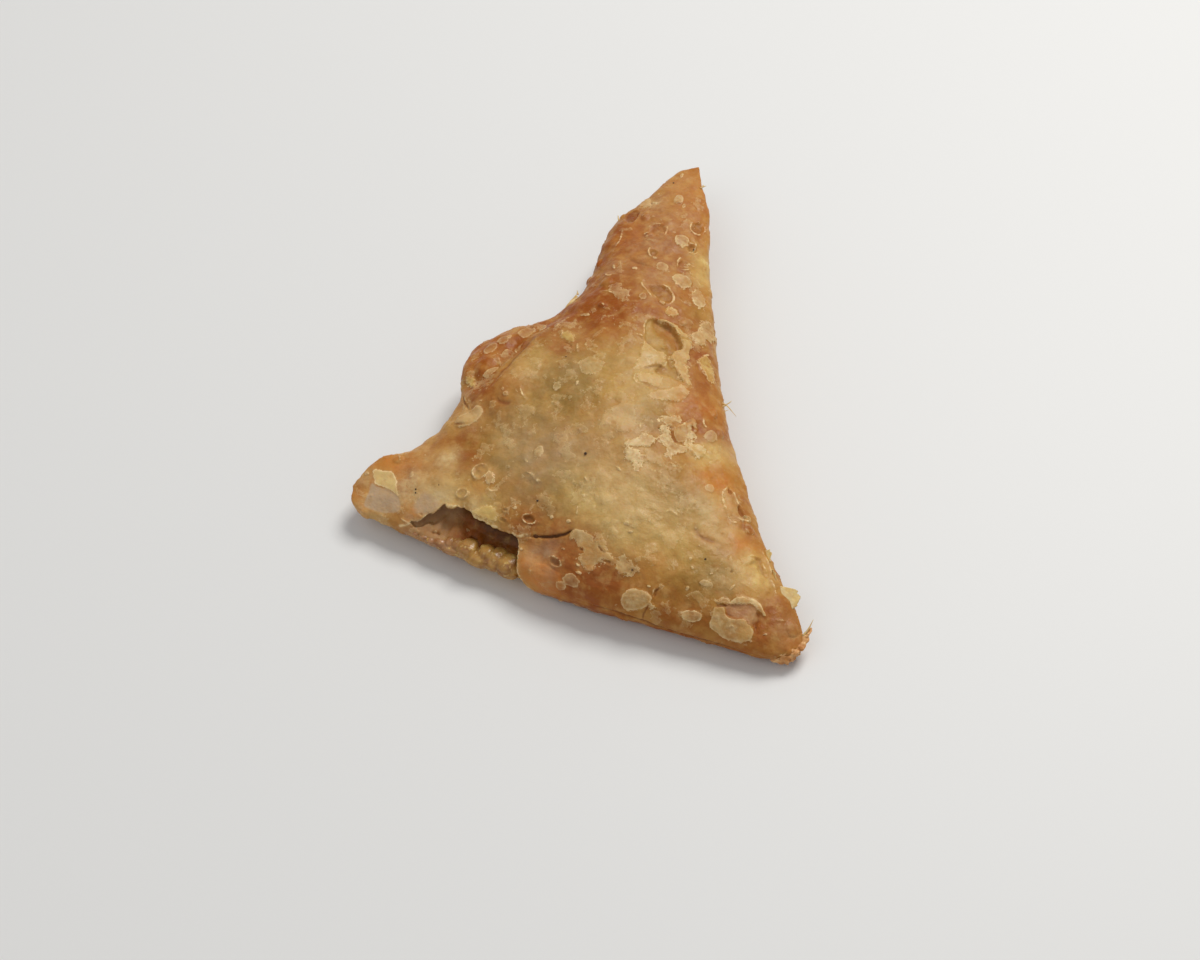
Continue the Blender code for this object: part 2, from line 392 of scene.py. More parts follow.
def mouth_sheets():
    """The roof and the floor of the hollow that the gape opens. In front of the free edge the hollow
    is open to the air, so there the roof stands clear of the crust."""
    roof, floor = [], []
    for i in range(MOUTH_STEPS + 1):
        share = i / MOUTH_STEPS
        along = LIP[0][0] + (LIP[-1][0] - LIP[0][0]) * share
        lip = ragged_lip(along)
        opened = float(ease(share / MOUTH_OPENING))
        edge = front_point(along, lip)
        drop = Vector((0.0, 0.0, (LIP_THICKNESS + MOUTH_HEIGHT) * opened - 0.2 * (1 - opened)))
        fold = front_point(along, 0.0)
        roof_row, floor_row = [], []
        for forward in (6.0, 3.0, 1.0):
            floor_row.append(fold - Vector((0.0, forward, -0.2)))
            roof_row.append(fold + Vector((0.0, -forward, ABOVE_CRUST)))
        for step in range(FRONT_STEPS):
            part = step / FRONT_STEPS
            crust = front_point(along, lip * part)
            sloped = fold.lerp(edge - drop, part)
            bumpy = 0.5 * wander(share, 0.03, 1.7 + part) * part
            height = crust.z + (sloped.z - crust.z + bumpy) * opened + 0.2
            floor_row.append(Vector((crust.x, crust.y, height)))
            roof_row.append(Vector((crust.x, crust.y, fold.z + ABOVE_CRUST)))
        for step in range(INNER_STEPS):
            inward = step / (INNER_STEPS - 1)
            crust = front_point(along, lip + 0.003 + (0.02 + MOUTH_REACH * opened) * inward)
            height = 0.3 + (MOUTH_HEIGHT - 0.3) * opened * (1 - inward**2)
            roof_row.append(crust - Vector((0.0, 0.0, (LIP_THICKNESS + 2.0 * inward) * opened)))
            floor_row.append(roof_row[-1] - Vector((0.0, 0.0, height)))
        roof.append(roof_row)
        floor.append(floor_row)
    return roof, floor


# The flap: it comes out below the free edge, follows the crust down over the front fold, and runs
# into the crust at its top and towards the right corner.
CRACK_WIDTH = 0.010
FLAP_FROM, FLAP_TO = 0.405, 0.86
FLAP_JOINS, FLAP_JOINING = 0.46, 0.1
FLAP_TOP = 0.31
FLAP_BASE = -0.085
FLAP_STEP = 1.5
FLAP_SINK = 0.4
FLAP_ROOT = 1.0
FLAP_STEPS, FLAP_ROWS = 150, 44


def flap_sheets():
    """The outer side of the flap, and the side by which it is joined to the crust."""
    outer, inner = [], []
    for i in range(FLAP_STEPS + 1):
        share = i / FLAP_STEPS
        outer_row, inner_row = [], []
        for j in range(FLAP_ROWS + 1):
            down = j / FLAP_ROWS
            start = FLAP_FROM + 0.03 * down + 0.05 * down**6 + 0.0016 * wander(down, 0.05, 5.3)
            along = start + (FLAP_TO - start) * share
            joined = float(rising(along, FLAP_JOINS, FLAP_JOINING))
            top = lip_across(along) - CRACK_WIDTH * (1 - joined)
            top += (FLAP_TOP - LIP[-1][1]) * joined
            across = top + (FLAP_BASE - top) * down
            far = float(rising(along, FLAP_FROM, FLAP_TO - FLAP_FROM))
            off = FLAP_STEP - (FLAP_STEP + FLAP_SINK) * far
            off = off * float(ease(down / 0.7)) - FLAP_SINK * joined * float(1 - ease(down / 0.3))
            outer_row.append(front_point(along, across, off))
            inner_row.append(front_point(along, across, -FLAP_ROOT))
        outer.append(outer_row)
        inner.append(inner_row)
    return outer, inner


def settled(made):
    """The mesh of an object with its modifiers in it; the object itself goes."""
    graph = bpy.context.evaluated_depsgraph_get()
    mesh = bpy.data.meshes.new_from_object(made.evaluated_get(graph))
    bpy.data.objects.remove(made)
    return mesh


def evened(made, voxel):
    """Gives an object an even mesh, which joins whatever overlaps in it."""
    remesh = made.modifiers.new("even", "REMESH")
    remesh.mode = "VOXEL"
    remesh.voxel_size = voxel * MM


def joined_skin():
    """The packet with its gape cut in, and the flap, as one even skin, and the packet before the cut
    to measure depths from."""
    packet = closed_sheets("crust", packet_sheet(True), packet_sheet(False))
    corners = [v.co / MM for v in packet.data.vertices]
    uncut = BVHTree.FromPolygons(corners, [p.vertices for p in packet.data.polygons])
    gape = closed_sheets("gape", *mouth_sheets())
    cut = packet.modifiers.new("gape", "BOOLEAN")
    cut.operation = "DIFFERENCE"
    cut.solver = "EXACT"
    cut.object = gape
    body = settled(packet)
    bpy.data.objects.remove(gape)
    flap = closed_sheets("flap", *flap_sheets())
    bm = bmesh.new()
    bm.from_mesh(body)
    bm.from_mesh(flap.data)
    bpy.data.objects.remove(flap)
    bm.to_mesh(body)
    bm.free()
    joined = placed("skin", body)
    evened(joined, SKIN_VOXEL)
    return settled(joined), uncut


skin, whole = joined_skin()

# The relief and the tints of the crust. Every point of the skin has a lift along its normal, in
# millimetres, and its share of each tint. Places are given as they lie seen from above.
# Some tints paint light: the one of rims is a painted highlight along rims, ridges and free edges, the dark
# and brown ones also carry painted shade in places, and the frosted one a painted sheen on the flap.
TINTS = (
    "browned", "olive", "orange", "yellow", "pale", "highlit_rim", "dark",
    "frosted_and_sheen", "flake", "film", "husk", "frayed",
)
count = len(skin.vertices)


def read_vectors(owner, name):
    """One vector of each point of the skin, as rows of an array."""
    values = np.empty(count * 3)
    owner.foreach_get(name, values)
    return values.reshape(-1, 3)


spots = read_vectors(skin.vertices, "co") / MM
facing = read_vectors(skin.vertex_normals, "vector")
spot_x, spot_y, spot_z = spots.T
upper_side = rising(facing[:, 2], -0.25, 0.5)
lift = np.zeros(count)
tints = {name: np.zeros(count) for name in TINTS}
by_x = np.argsort(spot_x)
sorted_x = spot_x[by_x]
surface = BVHTree.FromPolygons([Vector(p) for p in spots], [p.vertices for p in skin.polygons])


def noise_over(size, seed):
    """Smooth noise between about -1 and 1 over the crust, that changes over this size."""
    shift = Vector((seed, -seed, 2.3 * seed))
    return np.array([1.8 * noise.noise(Vector(p) / size + shift) for p in spots])


WOBBLE = noise_over(2.4, 11.0)
FINE_WOBBLE = noise_over(1.0, 23.0)


def on_top(x, y):
    """The point of the crust that shows here from above, or its nearest edge."""
    found = surface.ray_cast(Vector((x, y, 60.0)), Vector((0.0, 0.0, -1.0)))[0]
    return np.array(found if found else surface.find_nearest(Vector((x, y, 5.0)))[0])


def window(points, margin):
    """The points of the crust in and around the box that holds these points."""
    low, high = np.min(points, axis=0) - margin, np.max(points, axis=0) + margin
    first, last = np.searchsorted(sorted_x, (low[0], high[0]))
    near = by_x[first:last]
    held = ((spots[near] > low) & (spots[near] < high)).all(axis=1)
    return near[held]


def from_above(points, margin):
    """The points of the upper side in and around a box, seen from above."""
    corners = [(*np.min(points, axis=0), -9.0), (*np.max(points, axis=0), 60.0)]
    near = window(corners, margin)
    return near[upper_side[near] > 0.2]


def smooth_line(points, closed=False):
    """A smooth line through places on the crust, as an array of short steps."""
    if closed:
        points = [*points[-2:], *points, *points[:3]]
    steps = 4 * (len(points) - 1)
    line = [catmull_rom([(*p, 0.0) for p in points], i / steps) for i in range(steps + 1)]
    if closed:
        line = line[8 : steps - 7]
    return np.array([(p.x, p.y) for p in line])


def tint(name, where, amount):
    """Adds a tint where there is less of it."""
    tints[name][where] = np.maximum(tints[name][where], np.clip(amount, 0.0, 1.0))


def sheet_over(near, depth, film, husk=0.0, frayed=1.0):
    """Lays a dry film or a straw-coloured husk where depth, in millimetres inside its edge, is more
    than 0. The finish draws the edge itself, from how far off it is and how much it frays."""
    share = np.clip(0.5 + depth / FLAKE_SPAN, 0.0, 1.0)
    wins = share > tints["flake"][near]
    tints["flake"][near[wins]] = share[wins]
    tints["film"][near[wins]] = film
    tints["husk"][near[wins]] = husk
    tints["frayed"][near[wins]] = frayed


BUBBLE_RAGGED = 0.12


def blister(centre, width, length, turn, raised=0.0, highlit_rim=0.0, sunk=0.0, pale=0.0, dark=0.0, lit=0.0):
    """A bubble in the pastry: a film that stands off the crust or has fallen in, and the ring round it. A
    fallen film is darkened, with its own brown and with painted shade in the hollow, and the ring gets a
    painted highlight.
    """
    reach = 0.5 * max(width, length) * (1 + 2 * BUBBLE_RAGGED) + 1.2
    near = window([centre], reach)
    offsets = spots[near] - centre
    close = np.einsum("ij,ij->i", offsets, offsets) < 2.0
    normal = facing[near][close].mean(axis=0)
    normal /= np.linalg.norm(normal)
    kept = facing[near] @ normal > 0.2
    near, offsets = near[kept], offsets[kept]
    along = np.array((math.cos(math.radians(turn)), math.sin(math.radians(turn)), 0.0))
    along -= (along @ normal) * normal
    along /= np.linalg.norm(along)
    p = offsets @ along / (width / 2)
    q = offsets @ np.cross(normal, along) / (length / 2)
    r = np.hypot(p, q) * (1 + BUBBLE_RAGGED * (WOBBLE[near] + 0.6 * FINE_WOBBLE[near]))
    radius = (width + length) / 4
    film = ease((1 - r) * radius / 0.5 + 0.5)
    edge = np.exp(-(((r - 0.95) * radius / 0.23) ** 2)) * np.clip(0.75 + 0.9 * WOBBLE[near], 0.1, 1.3)
    fallen = ease((0.85 - r) * radius / 0.6)
    dome = 1.1 - 0.5 * np.minimum(r, 1.0) ** 2
    lift[near] += raised * film * dome + highlit_rim * edge - sunk * fallen
    if pale:
        sheet_over(near, (1 - r) * radius, pale, frayed=0.35)
    tint("dark", near, dark * fallen)
    tint("highlit_rim", near, lit * edge)


LINE_MARGIN = 1.6
LINE_LEAST = 0.15


def from_line(points):
    """The points of the crust near a line: how far each is from it in millimetres, and its share of
    the way along. A line without heights is laid on the crust from above."""
    if len(points[0]) == 3:
        steps = 4 * (len(points) - 1)
        laid = np.array([catmull_rom(points, i / steps) for i in range(steps + 1)])
        near = window(laid, LINE_MARGIN)
    else:
        line = smooth_line(points) if len(points) > 2 else np.array(points, dtype=float)
        laid = np.array([on_top(*p) for p in line])
        near = from_above(laid[:, :2], LINE_MARGIN)
    away, share = np.full(len(near), 99.0), np.zeros(len(near))
    for k, (start, end) in enumerate(zip(laid, laid[1:])):
        step = end - start
        t = np.clip((spots[near] - start) @ step / (step @ step), 0.0, 1.0)
        off = np.linalg.norm(spots[near] - start - t[:, None] * step, axis=1)
        share = np.where(off < away, (k + t) / (len(laid) - 1), share)
        away = np.minimum(away, off)
    return near, away, share


def tapered(points, width, least, over, swing):
    """The points of the crust near a line, and how strongly it shows at each: most along its middle
    and towards the middle of its length. least is its share of that at both ends."""
    near, away, share = from_line(points)
    taper = least + (1 - least) * ease(share / over) * ease((1 - share) / over)
    wide = width * taper * (1 + swing * WOBBLE[near])
    return near, np.exp(-((away / np.maximum(wide, LINE_LEAST)) ** 2)) * taper


def ridge(points, width=0.27, height=0.24, lit=0.62):
    """A thin raised edge of pastry that tapers at both ends, with a painted highlight along its crest."""
    near, crest = tapered(points, width, 0.4, 0.2, 0.25)
    crest = crest * (1 + 0.3 * FINE_WOBBLE[near])
    lift[near] += height * crest
    tint("highlit_rim", near, lit * crest)


def crack(points, width=0.3, depth=0.3, dark=0.38):
    """A split or a tight crease that tapers at both ends, painted darker and browner along its groove as
    shade in it.
    """
    near, groove = tapered(points, width, 0.3, 0.25, 0.2)
    lift[near] -= depth * groove
    tint("browned", near, 0.8 * groove)
    tint("dark", near, dark * groove)
    for name in ("highlit_rim", "flake", "frosted_and_sheen"):
        tints[name][near] *= 1 - np.clip(groove, 0.0, 1.0)


def inside(points, ragged):
    """The points of the crust in and around an outline, and how far inside it each is, seen from
    above. Outside it that is less than 0."""
    ring = smooth_line(points, closed=True)
    near = from_above(ring, 2.0)
    x, y = spot_x[near], spot_y[near]
    nearest, crossings = np.full(len(near), 99.0), np.zeros(len(near), dtype=int)
    for (sx, sy), (ex, ey) in zip(ring, ring[1:]):
        length = max((ex - sx) ** 2 + (ey - sy) ** 2, 1e-9)
        t = np.clip(((x - sx) * (ex - sx) + (y - sy) * (ey - sy)) / length, 0.0, 1.0)
        nearest = np.minimum(nearest, np.hypot(x - sx - t * (ex - sx), y - sy - t * (ey - sy)))
        if sy != ey:
            spans = (sy > y) != (ey > y)
            crossings += spans & (x < sx + (y - sy) * (ex - sx) / (ey - sy))
    signed = np.where(crossings % 2 == 1, nearest, -nearest)
    return near, signed + ragged * (WOBBLE[near] + 0.8 * FINE_WOBBLE[near])


def patch(points, raised=0.0, ragged=0.22, edge=0.4, lit=0.0, curl=0.0, film=0.0, husk=0.0, **shares):
    """A patch of the crust with its own tints, raised or sunk. Its broken edge may curl up just inside the
    outline, and gets a painted highlight there."""
    near, depth = inside(points, ragged)
    sheet = ease(depth / edge + 0.5)
    lit_brim = np.exp(-(((depth - 0.25) / 0.32) ** 2)) * (0.8 + 0.5 * WOBBLE[near])
    lift[near] += raised * sheet + curl * lit_brim
    for name, share in shares.items():
        tints[name][near] += (share - tints[name][near]) * sheet
    if film or husk:
        frayed = 0.3 if ragged < 0.1 else 1.0
        sheet_over(near, depth, max(film, husk), husk / max(film, husk), frayed)
    elif raised < 0:
        tints["flake"][near] *= 1 - sheet
    tint("highlit_rim", near, lit * lit_brim)


def glow(name, places):
    """Spreads a tint softly round places: x, y, radius and how much."""
    for x, y, radius, amount in places:
        away = np.hypot(spot_x - x, spot_y - y)
        tints[name] += amount * np.exp(-((away / radius) ** 2)) * (1 + 0.25 * WOBBLE)


# The broad tones, which come from how long each part of the crust was in the hot oil and from what lies
# under it: x, y, radius, how much. A few of them are painted shade instead: brown and dark in the fold of
# the neck near (-25, 0), and brown, olive and dark in the valley under the lobe, from about (-39, -28) to
# (-33, -49).
glow("browned", [
    (-20, 58, 16, 0.36), (-24, 40, 13, 0.55), (-14, 34, 9, 0.35), (-26, 22, 11, 0.48), (-12, 26, 9, 0.3),
    (-18, 12, 10, 0.5), (-28, 4, 9, 0.75), (-14, 3, 9, 0.5), (-28, -4, 6, 0.45), (0, 10, 6, 0.35),
    (-44, -18, 9, 0.6), (-39, -28, 5.5, 0.85), (-36, -12, 4, 0.8), (-46, -10, 7, 0.4), (-35, -2, 5, 0.45),
    (7, 2, 4, 0.65), (12, -8, 5, 0.45), (12, -14, 5, 0.4), (14, -2, 4, 0.3), (19, -20, 3.5, 0.75),
    (23, -14, 4, 0.7), (-37, -42, 4, 0.4), (-32, -49, 4, 0.6), (-44, -44, 5, 0.45), (-46, -52, 5, 0.45),
    (-46, -59, 3, 0.7), (-57, -60, 3, 0.75), (-12, -59, 6, 0.65), (-3, -58, 4.5, 0.6),
    (-20, -57, 4, 0.15), (0, -63, 6, 0.6), (7, -67, 6, 0.95), (14, -65, 5, 0.7), (-5, -63.3, 2.5, 0.4),
    (26, -66, 6, 0.45), (36, -67, 8, 0.45), (53, -61, 6.5, 0.72), (50, -55, 4, 0.45), (46, -66, 5, 0.35),
    (38, -39, 3.5, 0.55), (33, -33, 4, 0.5), (48, -48, 4, 0.45), (-31, -32, 5, 0.35), (-22, -8, 4, 0.35),
    (-25, -1, 5, 0.5), (-5, 20, 6, 0.15), (-35, -40, 5, 0.2), (-3.7, -63, 2, 0.35), (9, -5, 4, 0.3),
    (6, -60, 4, 0.7), (-26, -10, 5, 0.2), (-35, -50, 5, 0.35), (-31.5, 36, 2.6, 0.45),
    (-31, 30, 2.6, 0.4), (-30.5, 24, 2.6, 0.35), (-31, 18, 3, 0.3), (-25, 0, 4, 1.15), (4, -1, 4, 0.25),
    (-26, -11, 4, 0.25), (14, -20, 3, 0.6), (-8, 27.6, 2.5, 0.5), (13, -23, 7, 0.3),
    (-46, -55.5, 2.2, 0.35), (20, -25.5, 2.2, 0.3), (17, -40, 5, 0.12), (-5, 20, 5, 0.2),
    (-5, 10, 4, 0.25), (7, 9, 3.5, 0.5), (6, 1, 3.5, 0.35), (-25, 30, 3, 0.45), (4, -60, 4, 0.3),
    (-25, -10, 4, 0.25), (4, 11, 3, 0.3),
])
glow("olive", [
    (-20, -10, 10, 0.5), (-20, -24, 9, 0.6), (-12, -30, 10, 0.4), (-24, -36, 9, 0.2), (-22, -48, 9, 0.75),
    (-10, -50, 10, 0.6), (-2, -55, 6, 0.5), (-30, -10, 6, 0.45), (5, -23, 4, 0.65), (4, -3, 3, 0.4),
    (16, -56, 8, 0.6), (8, -56, 4, 0.6), (30, -60, 8, 0.8), (38, -58, 6, 0.6), (-14, -20, 7, 0.4),
    (-6, -40, 8, 0.2), (0, 14, 5, 0.45), (22, -42, 5, 0.3), (4, -18, 7, 0.3), (18, -40, 8, 0.35),
    (4, -3, 7, 0.35), (-26, -10, 5, 0.3), (-28, -60, 4, 0.4), (-28, -27, 7, 0.3), (10, -26, 7, 0.3),
    (16, -41, 6, 0.2), (-5, -10, 6, 0.3), (5, -12, 5, 0.2), (-5, -50, 7, 0.25), (-35, -20, 4, 0.25),
    (35, -50, 4, 0.3), (26, -42, 5, 0.2), (-32, 40, 2.6, 0.4), (-31, 32, 2.6, 0.5), (-30, 25, 3, 0.5),
    (-28, 17, 3, 0.4), (-34.5, -42, 4.5, 0.6), (-33, -49, 4, 0.45), (-31, -36, 4, 0.3),
])
glow("orange", [
    (26.5, -32, 4.5, 0.6), (38, -45, 3.5, 0.6), (-48, -52, 5, 0.5), (-48, -56, 4, 0.4),
    (-3, -67, 6, 0.75), (-47, -17, 6, 0.5), (-44, -12, 6, 0.35), (11, -12, 5, 0.45), (45, -55, 5, 0.3),
    (-40, -64, 3, 0.5), (-20, 61, 9, 0.35), (-26, 33, 8, 0.3), (-30, -24, 5, 0.25), (20, -58, 6, 0.3),
    (-26, -54, 4, 0.25), (-14, 48, 10, 0.35), (-22, 32, 9, 0.3), (-4, 22, 6, 0.25), (-4, 10, 5, 0.25),
    (14, -15, 6, 0.5), (8, -3, 5, 0.3), (58, -62, 3, 0.6), (-56, -52, 4, 0.3), (-18, -4, 6, 0.25),
    (30, -37, 3, 0.3), (-56, -65, 4, 0.4), (-6, -66, 5, 0.3), (8, -66, 6, 0.35), (0, -68, 4, 0.3),
    (-25, 20, 4, 0.3), (-45, -60, 5, 0.2), (-56, -60, 4, 0.2), (-25, 32, 4, 0.3),
])
glow("pale", [
    (-12, 20, 6, 0.18), (-20, 46, 8, 0.15), (3, -14, 7, 0.2), (0, -28, 6, 0.38), (8, -42, 9, 0.28),
    (12, -50, 9, 0.25), (27, -40, 4, 0.38), (31, -44, 5, 0.34), (-28, -22, 5, 0.28), (-38, -49, 3, 0.35),
    (-40, -56, 6, 0.22), (2, -46, 8, 0.2), (-18, 32, 7, 0.2), (-38, -37, 4, 0.3), (40, -54, 4, 0.3),
    (34, -52, 5, 0.12), (-8, -8, 6, 0.15), (-20, -43, 5, 0.15), (-45, -50, 4, 0.1), (-26, -33, 6, 0.2),
    (-50, -46, 4, 0.3), (-14, -24, 4, 0.12), (37, -56, 3, 0.2), (-46, -58, 6, 0.25), (-36, -60, 5, 0.2),
    (25, -20, 4, 0.3), (-45, -31, 4, 0.3), (-26, -50, 4, 0.15), (55, -60, 4, 0.2), (-24, 21, 4, 0.2),
    (-26, 50, 3, 0.25), (-6, -66, 4, 0.2), (-38.5, -48.5, 2.6, 0.4), (-50, -67, 3, 0.4),
    (-55, -65.5, 2.5, 0.3), (-57, -59, 3, 0.4), (-45, -60, 4, 0.3), (-35, -60, 4, 0.4),
    (-26, -59, 3, 0.4), (-26, -40, 4, 0.2), (-45, -41, 3, 0.2), (-24, 60, 6, 0.15), (-27, 50, 3, 0.15),
])
# Greyish frost in places, and a painted pinkish sheen on the flap from about (-7.5, -65) to (-2, -67.5).
glow("frosted_and_sheen", [
    (-3.7, -63, 1.8, 0.4), (-7.5, -65, 2.2, 0.3), (-2, -67.5, 2.5, 0.2), (-6, -38, 8, 0.25),
    (-15, -47, 8, 0.3), (-16, -38, 7, 0.2), (-26, -40, 5, 0.1), (-34, -59, 6, 0.1), (-18, -18, 8, 0.15),
    (4, -28, 6, 0.15), (20, -44, 8, 0.12),
])
# Dark: painted shade in the valley under the lobe and in the fold of the neck, and the darker neck near
# (-22, 12).
glow("dark", [(-39.6, -29.6, 2.4, 0.24), (-37, -26, 2.2, 0.12), (-22, 12, 7, 0.06), (-25, 0, 4, 0.14)])
glow("yellow", [
    (-5, 35, 4, 0.6), (-3, 28, 4, 0.45), (0, -6, 6, 0.25), (-3, -18, 6, 0.3), (2, -52, 8, 0.35),
    (16, -48, 9, 0.3), (24, -52, 7, 0.3), (-30, -16, 5, 0.3), (-25, -6, 4, 0.4), (45, -52, 4, 0.65),
    (-22, -59, 4, 0.5), (-32, -56, 6, 0.35), (22, -24, 4, 0.45), (-12, -12, 6, 0.2), (41, -48, 3, 0.5),
    (-5, -45, 8, 0.2), (12, -57, 5, 0.2), (-36, -60, 4, 0.2), (20, -27, 3, 0.4), (29, -36, 2.5, 0.3),
    (4, -13, 7, 0.2), (-4, 0, 5, 0.2),
])

# The crust is uneven all over: broad dents over the filling, small bumps and pits, thin scales where
# it isn't smooth, and a few wrinkles.
fullness = rising(spot_z, 3.0, 8.0) * upper_side
lift += (0.30 * noise_over(7.0, 3.0) + 0.21 * noise_over(3.6, 5.0)) * (0.35 + 0.65 * fullness)
lift += 0.08 * WOBBLE + 0.035 * FINE_WOBBLE
SMOOTH_PLACES = [
    (12, -10, 7), (26, -33, 6), (38, -45, 6), (-47, -52, 9), (-40, -47, 7), (-22, 30, 9), (-14, 34, 7),
    (-2, -66, 9), (9, -68, 5), (54, -60, 6), (31, -44, 6), (-20, 60, 9), (-26, 12, 8), (-22, 46, 6),
    (22, -17, 4), (46, -53, 5), (43.5, -61.5, 5.5), (20, -66.5, 4),
]
smooth = np.zeros(count)
for x, y, radius in SMOOTH_PLACES:
    smooth = np.maximum(smooth, ease(1.6 - np.hypot(spot_x - x, spot_y - y) / radius))
scaly = noise_over(4.0, 41.0) + 0.5 * noise_over(1.5, 43.0) - 0.58 - 0.9 * smooth
lift += 0.10 * ease(scaly / 0.14 + 0.5)
sheet_over(np.arange(count), 1.3 * scaly, film=0.17)
wrinkled = 1 - np.abs(noise_over(5.5, 53.0) + 0.3 * WOBBLE) / 0.05
lift += 0.09 * ease(wrinkled) * ease(noise_over(6.5, 59.0) / 0.4)

# Bubbles, by kind. A film is a pale skin over a bubble, and a dry one is paler. A crater is a burst bubble,
# a ring has only just sunk, and an eye is a clear film in a raised ring that is white with a painted
# highlight. A puff is whole and brown, a dot is a tiny pale one with a painted highlight, and a pit is a
# hole. The numbers are lifts in millimetres and shares of tints: lit is the share of painted highlight on
# the raised ring, and dark darkens a fallen film, with its own brown and with painted shade in the hollow.
# Each bubble below has its place, its width and length, and its turn in degrees.
KINDS = {
    "film": {"raised": 0.28, "highlit_rim": 0.08, "pale": 0.36, "lit": 0.2},
    "crater": {"highlit_rim": 0.34, "sunk": 0.48, "dark": 0.28, "lit": 0.66},
    "dry": {"raised": 0.28, "highlit_rim": 0.1, "pale": 0.54, "lit": 0.22},
    "eye": {"raised": 0.06, "highlit_rim": 0.34, "sunk": 0.22, "pale": 0.07, "dark": 0.05, "lit": 0.6},
    "ring": {"raised": 0.05, "highlit_rim": 0.26, "sunk": 0.28, "dark": 0.13, "lit": 0.4},
    "puff": {"raised": 0.5},
    "dot": {"raised": 0.3, "pale": 0.5, "lit": 0.2},
    "pit": {"highlit_rim": 0.06, "sunk": 0.5, "dark": 0.6, "lit": 0.1},
}
